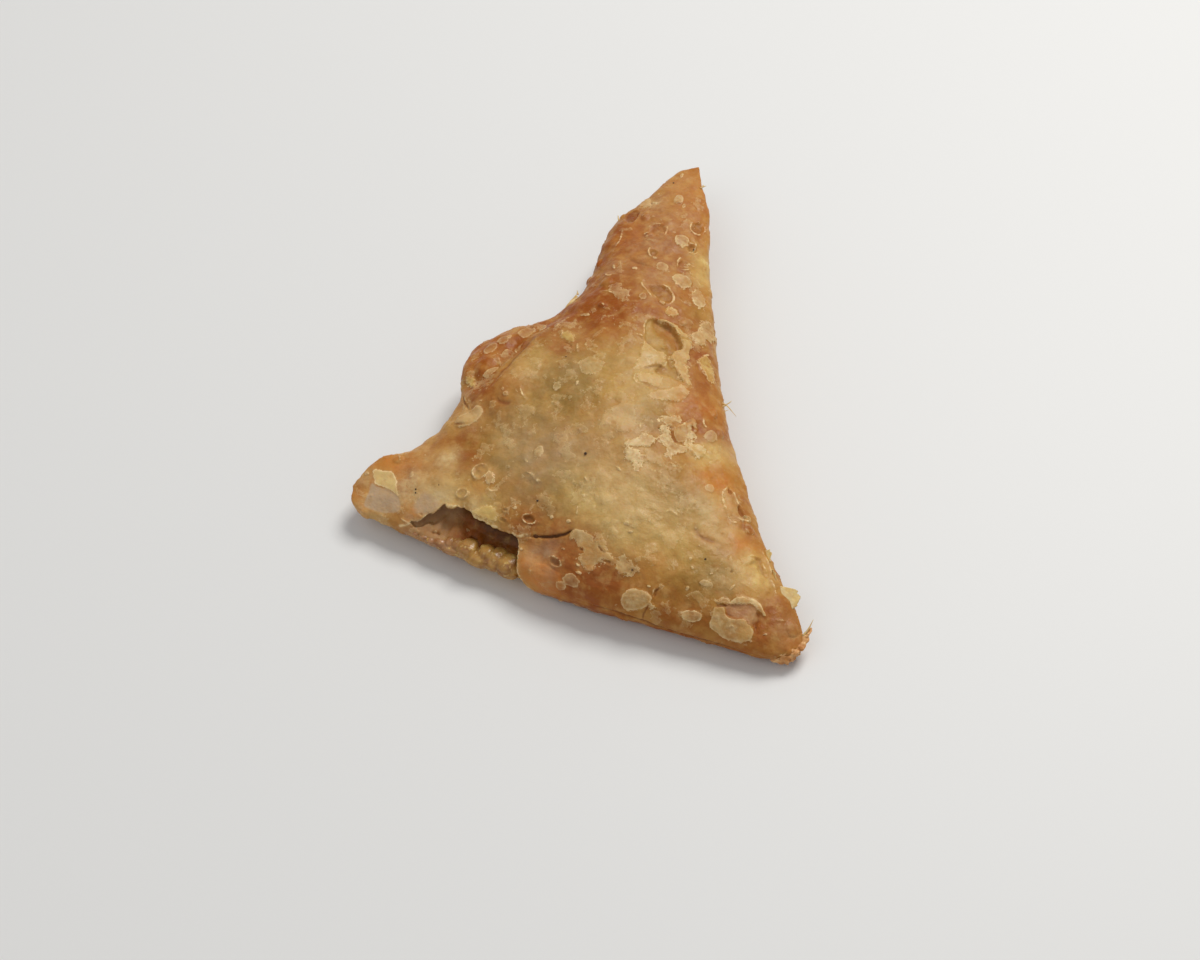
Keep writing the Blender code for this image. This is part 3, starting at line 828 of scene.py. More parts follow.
BUBBLES = {
    "film": [
        (-37.2, -6.3, 3.2, 4.6, -30), (-33.6, -3.8, 1.9, 4, 15), (-38.8, -15, 1.8, 3.6, 5),
        (-39.3, -22.4, 2.3, 4.2, -30), (-19.8, -23.6, 2, 2.2, 0), (-12.8, 25.3, 3.4, 2.9, -20),
        (-12.4, 12, 1.8, 2.4, 20), (-7.3, 12.4, 1.7, 1.1, 0), (19.6, -20, 3, 3.8, 0),
        (-20.4, 53.2, 2.4, 4, 15), (-40.5, -9.6, 1.4, 1.7, 0), (-18.3, -28.5, 1.4, 0.9, 0),
        (12, -52.8, 1.6, 1, 0), (-31.4, -29.2, 1.3, 1.2, 0), (-43.5, -14.5, 3, 4.5, -20),
        (-41.5, -11, 3, 3, 0), (34, -58, 3, 1.6, 10), (-16, -42.4, 2, 3.2, 10), (25.6, -35, 2.2, 2.4, 0),
        (-0.2, 9.3, 1.5, 1.6, 0), (3.9, -67.8, 4.4, 3, 0), (1.7, -69.1, 2.5, 2.2, 0),
        (18.8, -26.5, 3.6, 3.6, 0), (-0.9, -1.3, 1.6, 1, 20),
    ],
    "dry": [
        (-12.8, 37.5, 4, 4.4, 0), (-6.3, 23, 5, 4.8, 0), (-0.7, 20.4, 4, 6.8, 25),
        (33.8, -65.4, 4.8, 2.6, 15),
    ],
    "eye": [
        (-28.2, -50.6, 4.6, 4.4, 0), (-30.2, -57, 3.6, 2.6, 10),
    ],
    "crater": [
        (-11.4, -58.3, 3.6, 2.4, -10), (-11.3, 45, 4.2, 6.2, 5), (-17.3, 29.4, 2.6, 3.2, 20),
        (-1.4, -65.2, 4.2, 2.3, -8), (-9.2, 36.6, 3.2, 4.6, 15),
    ],
    "ring": [
        (-17.5, -60.1, 2.6, 1.3, 0), (-17.7, -58, 1.9, 1.1, 0), (-20.2, 38.6, 5.2, 4.8, 0),
        (-38.8, -63.7, 1.2, 0.9, 0), (-8.4, 28.9, 3.8, 4.4, 0),
    ],
    "puff": [
        (-21, 6, 2.6, 2, 0), (-24, 14.5, 3.6, 3, 20), (-30.8, 24, 1.6, 3, 10), (-31.6, 19, 1.8, 3.2, 5),
        (-26, 44, 2.4, 5, 10), (-36, -3, 2.4, 3, 30), (-45.5, -24, 3, 4, 20), (-51.5, -51.3, 3, 2.4, 0),
        (17.4, -12.5, 1.6, 3.4, 25), (21, -17, 2.2, 3, 25), (-33, 44.5, 1.6, 3.6, 5),
        (-21.5, 36.2, 2.2, 1.8, 0), (37.6, -39.2, 3.6, 3, -40), (-3, -68, 8, 4, 0),
        (56, -58.5, 4, 3, -50),
    ],
    "dot": [
        (-57.3, -57.4, 1.2, 0.9, 30), (-45.4, -55.3, 1.1, 1.7, 20), (-15.7, -56.9, 0.8, 0.7, 0),
        (-6, -56.5, 0.9, 0.7, 0), (-1.5, -56.4, 1.3, 0.8, 10), (-10.9, -64.4, 0.7, 0.7, 0),
        (-6.7, -68, 0.8, 0.7, 0), (4.4, -64.8, 0.9, 0.7, 0), (5.1, -66.1, 1.2, 0.6, 0),
        (-0.6, -62.3, 0.7, 0.5, 0), (28.8, -54.1, 0.9, 0.7, -30), (30, -55.9, 1, 0.7, -20),
        (30.6, -60.5, 0.9, 0.9, 0), (34.5, -55.4, 0.5, 1.3, -30), (28.8, -47.6, 1.1, 0.7, -20),
        (16.8, -50.1, 1.1, 0.6, 20), (13.5, -54.3, 1.2, 0.7, 20), (-16.1, 27.7, 0.9, 0.8, 0),
        (-19, 21.5, 1.4, 1.2, 0), (-20.7, 5.8, 1, 0.5, -40), (-22.4, 36.4, 1.2, 0.7, -10),
        (-24.2, 64.1, 0.9, 1.9, 10), (-18, 51.1, 0.7, 1.7, 10), (-25.8, 50, 0.8, 1, 0),
        (-20, 51.8, 1.6, 0.8, 0), (-24.4, 2.2, 2.4, 0.8, 10), (-15.2, -21.6, 0.7, 1.5, 20),
        (-29.4, -3.5, 0.7, 1.5, 10), (-8.2, 4.6, 0.7, 1.5, 0), (-0.6, -49.6, 1, 0.7, 0),
        (40.2, -56.4, 0.5, 1.8, -20), (51, -63, 1.2, 0.5, 30), (22.1, -63.5, 0.9, 0.5, 0),
        (-18.9, -8.5, 0.7, 0.9, 0), (-28.6, -50.3, 1.6, 0.6, -20), (-24.6, 20.8, 0.6, 1.6, 30),
        (10.3, -36.2, 0.9, 0.7, 0), (4.6, -40.8, 2.2, 0.6, -30), (15.7, -34.4, 1.4, 0.7, 0),
    ],
    "pit": [
        (-22.1, -14.4, 0.8, 0.7, 0), (2.7, -10.9, 0.8, 0.8, 0), (16.4, -10.7, 0.6, 1.4, 20),
        (19.9, -14.3, 0.6, 1.1, 0), (10.9, -24.2, 1.5, 1, -20), (17.7, -25.7, 0.9, 0.7, 0),
        (32.8, -38.7, 0.9, 0.8, 0), (17.4, -61.9, 0.9, 0.7, 0), (48.6, -62.6, 0.9, 1.6, 20),
        (-39.2, -35, 1.5, 0.7, 0), (-39.5, -33.5, 0.8, 0.7, 0), (2.9, 1, 0.9, 1, 0),
        (31.9, -52.7, 1.1, 0.5, 20), (6.4, -38.5, 1, 0.6, 0), (3.8, -34.4, 1, 0.6, 0),
        (-20.5, 42.9, 0.9, 0.6, 0), (-8.9, 36.4, 0.8, 1.3, 20), (-27.7, 50.5, 0.9, 1.2, 0),
        (-41.6, -35.7, 0.9, 0.7, 0), (-38.6, -38.7, 1.2, 0.7, 30), (-36.3, -35.6, 0.9, 0.7, 0),
        (-25.1, 60.3, 0.8, 0.6, 0), (-12.9, 25, 0.6, 0.7, 0), (-0.9, 22.7, 0.9, 0.9, 0),
        (-20.6, -32.2, 0.7, 0.5, 0),
    ],
}

# Layers that have flaked up or off: how they are finished, then their outlines.
CREAM = {"raised": 0.2, "ragged": 0.32, "curl": 0.06, "lit": 0.06, "film": 0.36, "browned": 0.25}
FAINT = {"raised": 0.12, "ragged": 0.38, "edge": 0.8, "film": 0.2}
STRAW = {"raised": 0.22, "ragged": 0.14, "lit": 0.12, "husk": 0.5, "browned": 0.1}
SMOOTH = {"raised": 0.32, "ragged": 0.05, "edge": 0.45, "film": 0.32, "browned": 0.15}
BRIGHT = {**CREAM, "film": 0.74}
MUTED = {**CREAM, "raised": 0.14, "ragged": 0.24, "curl": 0.0, "film": 0.4, "browned": 0.3}
GLASSY = {"raised": -0.1, "ragged": 0.04, "edge": 0.35, "frosted_and_sheen": 0.3, "browned": 0.75, "olive": 0.1}
GREY = {"raised": -0.1, "ragged": 0.03, "edge": 0.35, "frosted_and_sheen": 0.9, "browned": 0.0, "pale": 0.4}
# A hollow is sunk and painted browner and darker: its own brown, with painted shade in it.
HOLLOW = {"raised": -0.7, "ragged": 0.16, "edge": 0.5, "dark": 0.3, "browned": 0.8, "pale": 0.0}
PATCHES = [
    # the big ragged flakes of the flap and the front
    (MUTED, [(-0.3, -58.8), (1, -58), (3.5, -57.6), (5, -58), (6, -59.2), (7.5, -58.3), (9, -58.8),
     (10, -60), (11.6, -60.8), (12.1, -62), (9.6, -62.2), (10, -63.2), (8.8, -63.6), (8, -65),
     (6.5, -65.2), (5, -64.5), (3.8, -63.2), (4.6, -61.6), (3, -61), (1.8, -60.1), (0.4, -59.8)]),
    (MUTED, [(13, -60.8), (14.5, -60.1), (16.5, -60.6), (18.2, -61), (18, -62.3), (17, -63.2),
     (15, -63.5), (13.4, -62.5)]),
    (CREAM, [(22.9, -66.2), (24, -65.9), (25, -66.3), (24.4, -67), (23.2, -67)]),
    # the ring of flakes near the right fold
    (BRIGHT, [(7, -23.8), (8.3, -22), (9.5, -20.5), (11, -19.9), (12, -20.6), (11.4, -22), (11.8, -23.6),
     (10, -24), (8, -24.2)]),
    (BRIGHT, [(13.1, -21), (14.1, -19.8), (15.1, -20.9), (15.8, -21.8), (16.7, -22.2), (16.5, -23.5),
     (16.9, -25.1), (16.5, -26.6), (15.5, -26.7), (15.3, -24.3), (14.6, -22)]),
    (SMOOTH, [(11.8, -24), (12, -22.2), (13.1, -21), (14.4, -21.4), (15.2, -23.2), (15.4, -25.2),
     (14.5, -26.8), (13.1, -26.5), (12.1, -25.3)]),
    (BRIGHT, [(8.9, -25), (10.5, -25.2), (12, -26.2), (13.2, -27.8), (15, -27.6), (16.2, -27),
     (17, -27.2), (16.5, -29), (15.5, -30.5), (14.8, -31.7), (14, -33), (13, -32.5), (13, -31), (11, -30),
     (9.8, -28.5), (9.2, -26.5)]),
    (BRIGHT, [(17.4, -25), (18.5, -24.3), (20, -24.5), (20.8, -26), (20, -28.5), (18.5, -28.2),
     (17.5, -27)]),
    (CREAM, [(14, -18.2), (15.3, -18.5), (16.4, -19.8), (16, -21), (14.8, -20)]),
    ({**BRIGHT, "ragged": 0.5}, [(4.1, -32.9), (5.7, -30.6), (5.9, -29.2), (8.2, -29.1), (9, -30.2),
     (9.4, -32.3), (7.7, -33.3), (5.4, -34.1), (3.9, -34.7)]),
    ({**BRIGHT, "ragged": 0.5}, [(4.6, -35.8), (5.6, -35), (8.3, -35.2), (9.2, -36.6), (9.5, -39),
     (8.6, -39.9), (7.5, -38), (5.5, -38.3)]),
    # the strip along the right fold, and the lumps above the tear
    ({**BRIGHT, "film": 0.5}, [(3.3, 7), (3.7, 9.8), (3.5, 12), (3.4, 14.4), (4.2, 15.4), (5.9, 14.2),
     (7.5, 11.4), (7.3, 9.7), (6.2, 8.5), (6.9, 6.2), (6, 5.6), (4.6, 5.7)]),
    (STRAW, [(-5.3, 11.8), (-3, 12), (-2.6, 10), (-4, 9.3), (-5.5, 10)]),
    ({**FAINT, "film": 0.3, "ragged": 0.14}, [(-22, 13.5), (-20, 14.5), (-19, 13), (-17, 12.5), (-16, 11),
     (-16.8, 8.5), (-18.5, 9), (-20, 10.5), (-22, 12)]),
    (STRAW, [(7.6, 0), (7.7, 1.6), (8.6, 3.3), (10.1, 3.1), (12, 0.4), (13.2, -2.5), (12.3, -3.6),
     (11.6, -2.9), (9.6, -1.3)]),
    # the hollow under the half bubble above the tear, and the one on the left fold of the tip
    ({**HOLLOW, "raised": -0.4, "edge": 0.9, "dark": 0.16, "browned": 0.5, "olive": 0.6}, [(-12.2, 16.2),
     (-11.3, 17.2), (-9.2, 17.9), (-6.9, 16.9), (-5.4, 15.6), (-5.6, 14), (-7.2, 13), (-9.1, 13.4),
     (-11.2, 14.6)]),
    ({**HOLLOW, "raised": -0.35, "edge": 0.9, "dark": 0.3, "browned": 1.0}, [(-31.2, 46.2), (-29.2, 46),
     (-28.2, 44), (-27.9, 41.2), (-29.2, 39.8), (-31.2, 42.2)]),
    # faint ones over the filling and on the tip
    ({**FAINT, "film": 0.3, "ragged": 0.24}, [(-17, -13), (-15.5, -12), (-12, -13), (-12, -17),
     (-14.5, -18), (-16.5, -17), (-17.5, -15.5)]),
    (FAINT, [(14, -47.3), (15.3, -46.3), (16.8, -46.1), (16.3, -47), (15, -47.6)]),
    (FAINT, [(20.5, -51.7), (22, -51.4), (23, -49.5), (23.5, -47.2), (24.6, -47.2), (24.6, -49.5),
     (24.3, -53), (23.2, -53.8), (21.5, -53)]),
    (FAINT, [(12.9, -50.5), (14.3, -50), (15.6, -50.2), (14.5, -50.7)]),
    (BRIGHT, [(-26, -50), (-24.5, -50.8), (-23.2, -52.3), (-24, -53.4), (-25.6, -52.8)]),
    (FAINT, [(-10, -47), (-8.5, -45.6), (-5.5, -45.5), (-6.5, -46.8), (-8.5, -47.3)]),
    (FAINT, [(-16.6, 57), (-15.5, 56.5), (-14, 54), (-13.5, 52.3), (-14.8, 51.8), (-15.8, 54)]),
    (MUTED, [(-30.5, 51.5), (-29.5, 53), (-28, 51.5), (-26.5, 50), (-26.8, 48.5), (-28.5, 47.7),
     (-30, 49)]),
    ({**SMOOTH, "raised": 0.4, "edge": 0.9}, [(-41.5, -37), (-39.5, -34.8), (-37.8, -33.2), (-36, -34),
     (-35.5, -36), (-36.8, -38.5), (-39, -39.5), (-41, -39)]),
    (FAINT, [(-3, -24), (0, -23), (3, -26), (3.5, -30), (1, -32), (-1, -30), (-3, -28)]),
    ({**STRAW, "husk": 0.22}, [(-26, -5), (-24.5, -5.5), (-23, -7), (-22.5, -8.5), (-24, -8.8), (-25, -8),
     (-26.5, -7.4)]),
    (STRAW, [(-45.5, -24.2), (-43.5, -24.3), (-42, -26), (-41.6, -27.4), (-43, -26.8), (-44.5, -25.8)]),
    (STRAW, [(-25.6, -60.2), (-24, -58.9), (-22, -58), (-20, -58.8), (-19.5, -60.5), (-21, -61),
     (-23.2, -60.9)]),
    # the burst bubble at the left tip: a straw-coloured wall over a grey film, and the one next to it
    ({**SMOOTH, "raised": 0.06, "film": 0.75, "husk": 0.38, "yellow": 0.1, "pale": 0.5, "browned": 0,
     "orange": 0.1}, [(-55.8, -56.4), (-54.9, -55.9), (-52.6, -55.7), (-50.9, -55.6), (-49, -57),
     (-47.9, -58.6), (-46, -61.3), (-47.8, -60.7), (-49.8, -60.1), (-52.2, -59.8), (-53.5, -59.6),
     (-54.8, -58.2)]),
    (GREY, [(-54.6, -59.8), (-53.3, -60.1), (-50.9, -60.1), (-48.4, -60.5), (-46.3, -61.3),
     (-45.2, -62.3), (-44.5, -64), (-45.8, -64.8), (-49.5, -65.6), (-53.5, -65.4), (-54.3, -64.9),
     (-54.4, -62.4)]),
    ({**GREY, "raised": 0.1, "ragged": 0.2, "edge": 1.4, "frosted_and_sheen": 0.75}, [(-41.1, -62.1), (-41, -60.4),
     (-40.2, -59.1), (-38.2, -59.1), (-36.2, -59.9), (-34.6, -60.9), (-36.1, -62.6), (-37.8, -63.6),
     (-39.8, -63.6)]),
    # the double blister at the right corner, with painted shadow in the hollow on its right
    ({**HOLLOW, "raised": -0.25, "edge": 0.9, "browned": 0.85, "dark": 0.12}, [(47.6, -59.6),
     (48.7, -58.8), (50.5, -60.2), (51.4, -62.7), (49.7, -64), (47.8, -63.2)]),
    ({**SMOOTH, "film": 0.4}, [(38.4, -65.8), (38.2, -63.2), (38.3, -61.9), (39.6, -61.2), (40.8, -61.8),
     (41.7, -62.8), (43.3, -62.4), (45.5, -61.6), (46.9, -62.1), (48, -63), (48.5, -64.1), (48.3, -65.4),
     (46.6, -66.3), (44.3, -66.8), (41.8, -66.7), (39.6, -66.3)]),
    (GLASSY, [(40.4, -60.8), (42.3, -59.8), (44.4, -58.9), (45.9, -58.4), (47.4, -58.9), (48.1, -60.1),
     (48.1, -61.3), (47.6, -62.5), (46.5, -62.7), (45.5, -61.8), (43.3, -62.6), (41.6, -62.8)]),
    ({**SMOOTH, "film": 0.5, "browned": 0.0}, [(41.2, -60.3), (41.4, -59), (42.7, -57.8), (44.5, -57.3),
     (46.5, -57.3), (48.2, -57.9), (49.7, -59.2), (48.2, -58.9), (46.3, -58.2), (44.3, -58.8),
     (42.7, -59.6)]),
    (CREAM, [(36.9, -60.8), (37.6, -61.2), (38.9, -61), (40.9, -60.2), (40.3, -59.3), (38.7, -60.2)]),
    (FAINT, [(38.5, -49.4), (39.6, -47.6), (41.3, -46.6), (41.7, -47.8), (40.6, -49.5), (39.4, -50.2)]),
    ({**HOLLOW, "raised": -0.4, "dark": 0.14}, [(42, -46), (43.2, -45.8), (43.8, -47), (44.8, -48.5),
     (46.1, -49.7), (45, -49.9), (43.8, -49.7), (43.2, -48.4), (42.2, -48.9), (41, -49.9), (41.5, -48.7),
     (42, -47.5)]),
    # the torn strip on the right fold
    (FAINT, [(28.9, -31.3), (30.5, -32.6), (33, -34.6), (35.8, -36), (37, -36.8), (35, -38.4),
     (33, -39.5), (31.3, -38.3), (29.6, -36), (28.8, -33.8)]),
    ({**HOLLOW, "dark": 0.2}, [(33, -35.1), (34, -35.2), (35.6, -36.3), (35.2, -37.1), (34, -36.8)]),
    ({**HOLLOW, "dark": 0.14}, [(29.1, -31.6), (30.1, -32.4), (30.1, -33.2), (29.4, -32.8)]),
]
for finish, points in PATCHES:
    patch(points, **finish)
for kind, places in BUBBLES.items():
    for x, y, width, length, turn in places:
        blister(on_top(x, y), width, length, turn, **KINDS[kind])

# The tear beside the right fold: the top layer is gone, layers below it step down towards the top and the
# right, up to its broken edge, and leaves of it are left all round. Towards the broken edge the layers are
# browner and darker, with their own brown and with painted shade under the edge, and the edges of the
# leaves get painted highlights.
TORN_EDGE = [(-4.6, 6.2), (-3.1, 6.6), (-1.9, 6.3), (-0.6, 5.2), (0.9, 3.8), (2.2, 2.4), (2.9, 1)]
patch([(-8, 4.6), (-7.2, 5.9), (-5.7, 6.4), *TORN_EDGE, (2.1, -0.4), (1.9, -2.4), (2, -3.8), (2.8, -4.2),
      (3.9, -5.8), (5.3, -7.1), (6.5, -8), (8, -9), (6, -9.6), (3.4, -9.8), (0.6, -9.8), (1.2, -7.4),
      (1.4, -5.6), (0, -3), (-2.3, -3.3), (-4.7, -2.1), (-6, -1.1), (-6.8, 0.8), (-7.8, 2.7)],
      raised=-0.4, ragged=0.12, edge=0.4, olive=0.7, yellow=0.3, pale=0.0, browned=0.35, orange=0.0)
patch([(-7.2, 5.9), (-5.7, 6.4), *TORN_EDGE, (2.1, -0.4), (1.9, -2.4), (2.6, -4.6), (4.2, -6.7),
      (3, -6.6), (1.8, -4.6), (0.6, -2), (-0.9, 0.2), (-2.9, 1.6), (-5.2, 3)], raised=-0.3, ragged=0.16,
      edge=1.2, olive=0.6, yellow=0.2, browned=0.55, orange=0.0)
patch([(-6.4, 5.9), (-5.4, 6.4), *TORN_EDGE, (2.1, -0.2), (0.9, 0.9), (-0.4, 2.4), (-2.4, 3.6),
      (-4.6, 4.6)], raised=-0.3, ragged=0.12, edge=1.6, olive=0.4, browned=0.95, orange=0.0, dark=0.04)
patch([(-5.4, 6.4), (-4.6, 6.3), (-3.1, 6.7), (-1.9, 6.4), (-0.6, 5.3), (0.9, 3.9), (2.3, 2.5), (3, 1.1),
      (2.2, 0.3), (1.3, 1.9), (-0.2, 3.7), (-1.8, 5.1), (-3.4, 5.5)], raised=-0.3, ragged=0.08, edge=1.2,
      olive=0.2, browned=1.0, orange=0.0, dark=0.22)
patch([(-6, -1.6), (-4.7, -2.1), (-3.1, -2.7), (-2.3, -3.3), (-0.6, -3.4), (0, -3), (1.4, -5.6),
      (1.9, -7.3), (-0.1, -8.2), (-1.5, -10.1), (-4.1, -12), (-4.3, -9.1), (-4.8, -6.3)], raised=0.14,
      ragged=0.16, edge=0.6, film=0.44, yellow=0.35, olive=0.1, browned=0.1)
patch([(-0.2, -9.2), (1.6, -8), (3.2, -8), (4.4, -8.8), (3.5, -9.8), (1.5, -10.2)], raised=-0.15,
      ragged=0.1, edge=0.8, olive=0.6, browned=0.45)
crack([(-2.8, -11), (-1.5, -10), (-0.1, -8.5), (1.9, -7.6), (4, -8)], width=0.36, depth=0.15, dark=0.3)
patch([(-5.9, 6.7), (-4.5, 7.3), (-2.8, 7.2), (-1.2, 7.2), (0.7, 6.7), (2.3, 6.8), (3.8, 5.2), (4.5, 3.2),
      (4.9, 1.2), (5.7, -1.8), (6.7, -4.4), (8, -6.5), (9.6, -8.4), (9.5, -9.2), (8, -9), (6.7, -8),
      (5.3, -7.1), (3.9, -5.8), (2.8, -4.2), (2, -3.8), (1.9, -2.4), (2.1, -0.4), (2.9, 0.9), (2.3, 2.8),
      (0.9, 3.8), (-0.6, 5.2), (-1.9, 6.3), (-3.1, 6.6), (-4.6, 6.2)], raised=0.3, ragged=0.3, edge=0.4,
      film=0.4, husk=0.15, yellow=0.25, olive=0.1, browned=0.35)
patch([(0.7, 4.6), (1.8, 5), (3.2, 5.9), (3.5, 5.2), (2.2, 4.2), (1.4, 3.8)], raised=-0.2, ragged=0.1,
      edge=0.3, olive=0.5, yellow=0.3)
ridge([(-5.8, 6.8), (-4.2, 7.0), (-2.5, 7.1), (-0.9, 6.2), (0.6, 4.9), (1.6, 3.9)],
      width=0.3, height=0.35, lit=0.36)
ridge([(2.2, -4.2), (3.4, -5.9), (5.4, -7.6)], width=0.25, height=0.25, lit=0.4)
crack([(-5.6, 6), (-4.4, 6), (-3, 6.2), (-1.9, 5.9), (-0.7, 4.9), (0.6, 3.5), (1.8, 2.2), (2.5, 1),
      (2, -0.4)], width=0.6, depth=0.0, dark=0.14)
patch([(-2.4, -14), (-2.2, -12.7), (-0.5, -11.7), (1.3, -10.9), (3.2, -11), (3.6, -12.6), (4, -14.2),
      (1.6, -14.9), (-1, -15.3)], raised=0.16, ragged=0.2, edge=0.8, film=0.36, yellow=0.3, browned=0.0,
      olive=0.0)
patch([(2.3, -18), (3.2, -15.9), (4.3, -14.4), (5.7, -13.7), (6.8, -11.9), (8, -10.3), (9.4, -10.5),
      (10.1, -11.5), (9.9, -13.6), (9, -15.1), (7, -16.6), (5, -18.1), (3, -18.5)], raised=0.26,
      ragged=0.16, edge=0.6, film=0.4, browned=0.05, olive=0.0)
crack([(-1, -15.2), (1.6, -15), (3.9, -14.4), (5.6, -13.6)], width=0.6, depth=0.15, dark=0.08)
blister(on_top(2.9, -11), 1.1, 0.6, 20, **KINDS["pit"])
blister(on_top(2.7, 1.2), 1.0, 1.2, 20, **KINDS["pit"])

# The disc by the front fold, with the streaks of its film, each with a painted highlight along it.
patch([(16.8, -68), (17, -66.5), (18.5, -65.3), (21, -64.7), (23, -64.9), (23.7, -66), (22.8, -67.2),
      (21, -68.2), (18.5, -68.8)], raised=0.3, ragged=0.05, edge=0.4, lit=0.1, film=0.42, browned=0.1)
for k in range(4):
    streak = [(17.6, -66.4 - 0.55 * k), (20, -65.6 - 0.62 * k), (22.8, -65.3 - 0.6 * k)]
    ridge(streak, width=0.22, height=0.1, lit=0.22)

# Raised edges, each with a painted highlight along its crest.
RIDGES = [
    # the torn half bubble above the tear
    [(-11, 17.9), (-9.7, 18.4), (-8, 18), (-6.5, 17), (-5.4, 15.8), (-5.2, 14.2), (-5.6, 12.8),
     (-7, 12.4)],
    [(-14.8, 17), (-14.5, 15.9), (-13, 14.8), (-11.3, 13.6), (-10.4, 13)], [(-15, 17.1), (-14.3, 17.5)],
    # round the tear
    [(-8.2, 5), (-8.1, 3.2), (-7.4, 1.5), (-6.8, 0.1)], [(-9, -1), (-7.6, -0.6), (-6.6, -0.9)],
    [(9, 5), (8.2, 3.5), (7.3, 1.7)], [(8, -0.3), (9.5, -1.8), (11.6, -2.8)],
    [(-3.2, -13), (-2.8, -15), (-1.2, -16.2)], [(16.2, -16.4), (16.8, -17.7), (18.1, -18.2)],
    [(4.2, -26.9), (4.9, -28.6)],
    # the tip
    [(-29.5, 36.9), (-29, 35.2), (-28.5, 33.2), (-28, 30.8), (-27.9, 28.3)],
    [(-18.4, 41.3), (-17.7, 39.5), (-17.4, 37)], [(-23.3, 38.2), (-22.6, 40), (-21, 41.1), (-19.4, 41.2)],
    [(-28.3, 44.8), (-27.8, 42.3), (-27.8, 40.3)], [(-18.6, 31), (-18.8, 29.6), (-17.6, 27.9)],
    [(-10.2, 31.5), (-10.4, 29.5), (-9.2, 27)], [(-9, 29.4), (-7.5, 30.2), (-5.7, 30.6)],
    [(-24.1, 23.5), (-23.4, 22.2), (-22.5, 20.8)], [(-26.6, 18.8), (-24.6, 17.3), (-22.4, 17.9)],
    [(-23.6, 11), (-21.5, 10.9), (-20.2, 10.3)],
    [(-10.2, 40), (-9.1, 38.8), (-8.8, 37.3), (-8.9, 35.2), (-9.9, 33.4)],
    [(-13.2, 47), (-13.4, 44.8), (-12.4, 42.6)], [(-22.3, 35), (-21, 35.6)],
    # the lobe and the neck
    [(-40, -17), (-38.8, -18.3), (-37.5, -20.3)], [(-37.9, -12.9), (-36.6, -13.7), (-35.8, -15.1)],
    [(-43, -30), (-41.9, -32), (-40.5, -34.3)], [(-28.8, -26.3), (-27.1, -28.4), (-25.6, -29.3)],
    [(-27.3, -4.8), (-26.4, -7.2)], [(-21.2, -8.7), (-20.4, -10.4), (-19.5, -12.4)],
    [(-51.4, -50.4), (-50.6, -52.1)],
    # the front
    [(-16.9, -48), (-15.2, -48.3), (-13.8, -49.5)], [(-13.3, -49.2), (-12.4, -50)],
    [(-2.4, -45.2), (-1, -46.4)], [(-0.9, -52.4), (-0.3, -54.6)],
    [(18.9, -46.5), (20.2, -45.5), (22.7, -46)], [(-18.6, -44.9), (-17.2, -45.9)],
    [(25, -61.8), (24.4, -63), (23.5, -63.8), (23.9, -65.3)],
    [(-24.5, -54.4), (-23, -54.8), (-21.5, -54.2)], [(-44, -65.4), (-41.5, -65.9), (-39.6, -65.3)],
    [(35, -54.6), (35.6, -53.3)],
    # the right corner
    [(41, -58.6), (43.6, -57.4), (46.6, -57.1), (48.3, -58.1), (49.4, -59.5)],
    [(42.4, -64.9), (43.2, -64.2), (44, -64.4)], [(52, -59), (53.2, -58.2), (54.1, -57.7)],
    [(43.8, -46.6), (45, -47.8), (46.3, -48.8)], [(39.7, -47.6), (41.3, -46.2), (42.8, -45.5)],
    [(28.9, -31), (28.5, -34), (29.9, -36.6), (31.7, -38.6)], [(30.2, -32.2), (31.8, -33.6), (33, -34.8)],
    [(37, -36.6), (36, -37.5), (34.9, -38.2), (33.9, -37.9)], [(32, -39.1), (33.4, -40.2), (35, -39.4)],
    [(42, -43), (43.6, -44.4), (45.4, -46.4), (47, -48.6)], [(46.8, -49.4), (48.4, -51), (50, -53)],
]
for points in RIDGES:
    ridge(points)

# Cracks, each painted darker and browner along its groove as shade in it.
CRACKS = [
    [(37.9, -61.9), (39.3, -61.4), (41, -60.5)], [(38.3, -53.4), (38.9, -52.6)],
    [(24.8, -62.6), (24, -63.9), (24.3, -65.2)], [(23.5, -66.6), (22.8, -68), (22.4, -69)],
    [(-28, 51.5), (-27, 50), (-26.4, 49.2)], [(-25.2, -9), (-23, -9.5), (-21.9, -10.6)],
    [(7.6, -59.8), (9.4, -60.9)], [(10.2, -62.4), (12, -62.1)], [(3.2, -61.5), (4.4, -61.7)],
    [(-44.2, -29.2), (-42.8, -31.2), (-41.3, -32.8), (-39.6, -34.3)], [(-41.4, -38.9), (-38.5, -38.7)],
    [(-28.9, 45), (-28.2, 43), (-28.4, 41)],
]
for points in CRACKS:
    crack(points)
# round the double blister, where the crack on its right is a painted shadow, and round the ring of flakes,
# and the split to the right of the gape
crack([(47.2, -58.9), (48.3, -60.1), (48.4, -61.6), (47.5, -63)], width=0.5, depth=0.4, dark=0.3)
crack([(40.4, -60.9), (41.3, -62.5), (43.3, -62.6), (45.4, -61.8), (46.8, -62.6)],
      width=0.25, depth=0.25, dark=0.12)
crack([(11.2, -24.4), (12, -25.7), (13.1, -27), (14.6, -27.2)], width=0.25, depth=0.2, dark=0.24)
crack([(-10.7, -61.6), (-7, -61), (-4, -60.3), (-1.8, -59.6), (-0.5, -58.6), (0.4, -57.7)],
      width=0.36, depth=0.5, dark=0.85)
# Creases: wide, shallow grooves painted darker and browner as shadow lines in the folds.
CREASES = [
    [(-23, 25.6), (-20.5, 24.5), (-18, 24.2), (-14, 23.8)],
    [(-36.8, -28), (-35.6, -20), (-34.2, -12), (-31.5, -2)], [(-33.6, -31), (-31, -31.6), (-28.4, -31.2)],
    [(26.3, -45.5), (28.5, -47.8), (33.8, -47.6)],
]
for points in CREASES:
    crack(points, width=0.8, depth=0.35, dark=0.28)
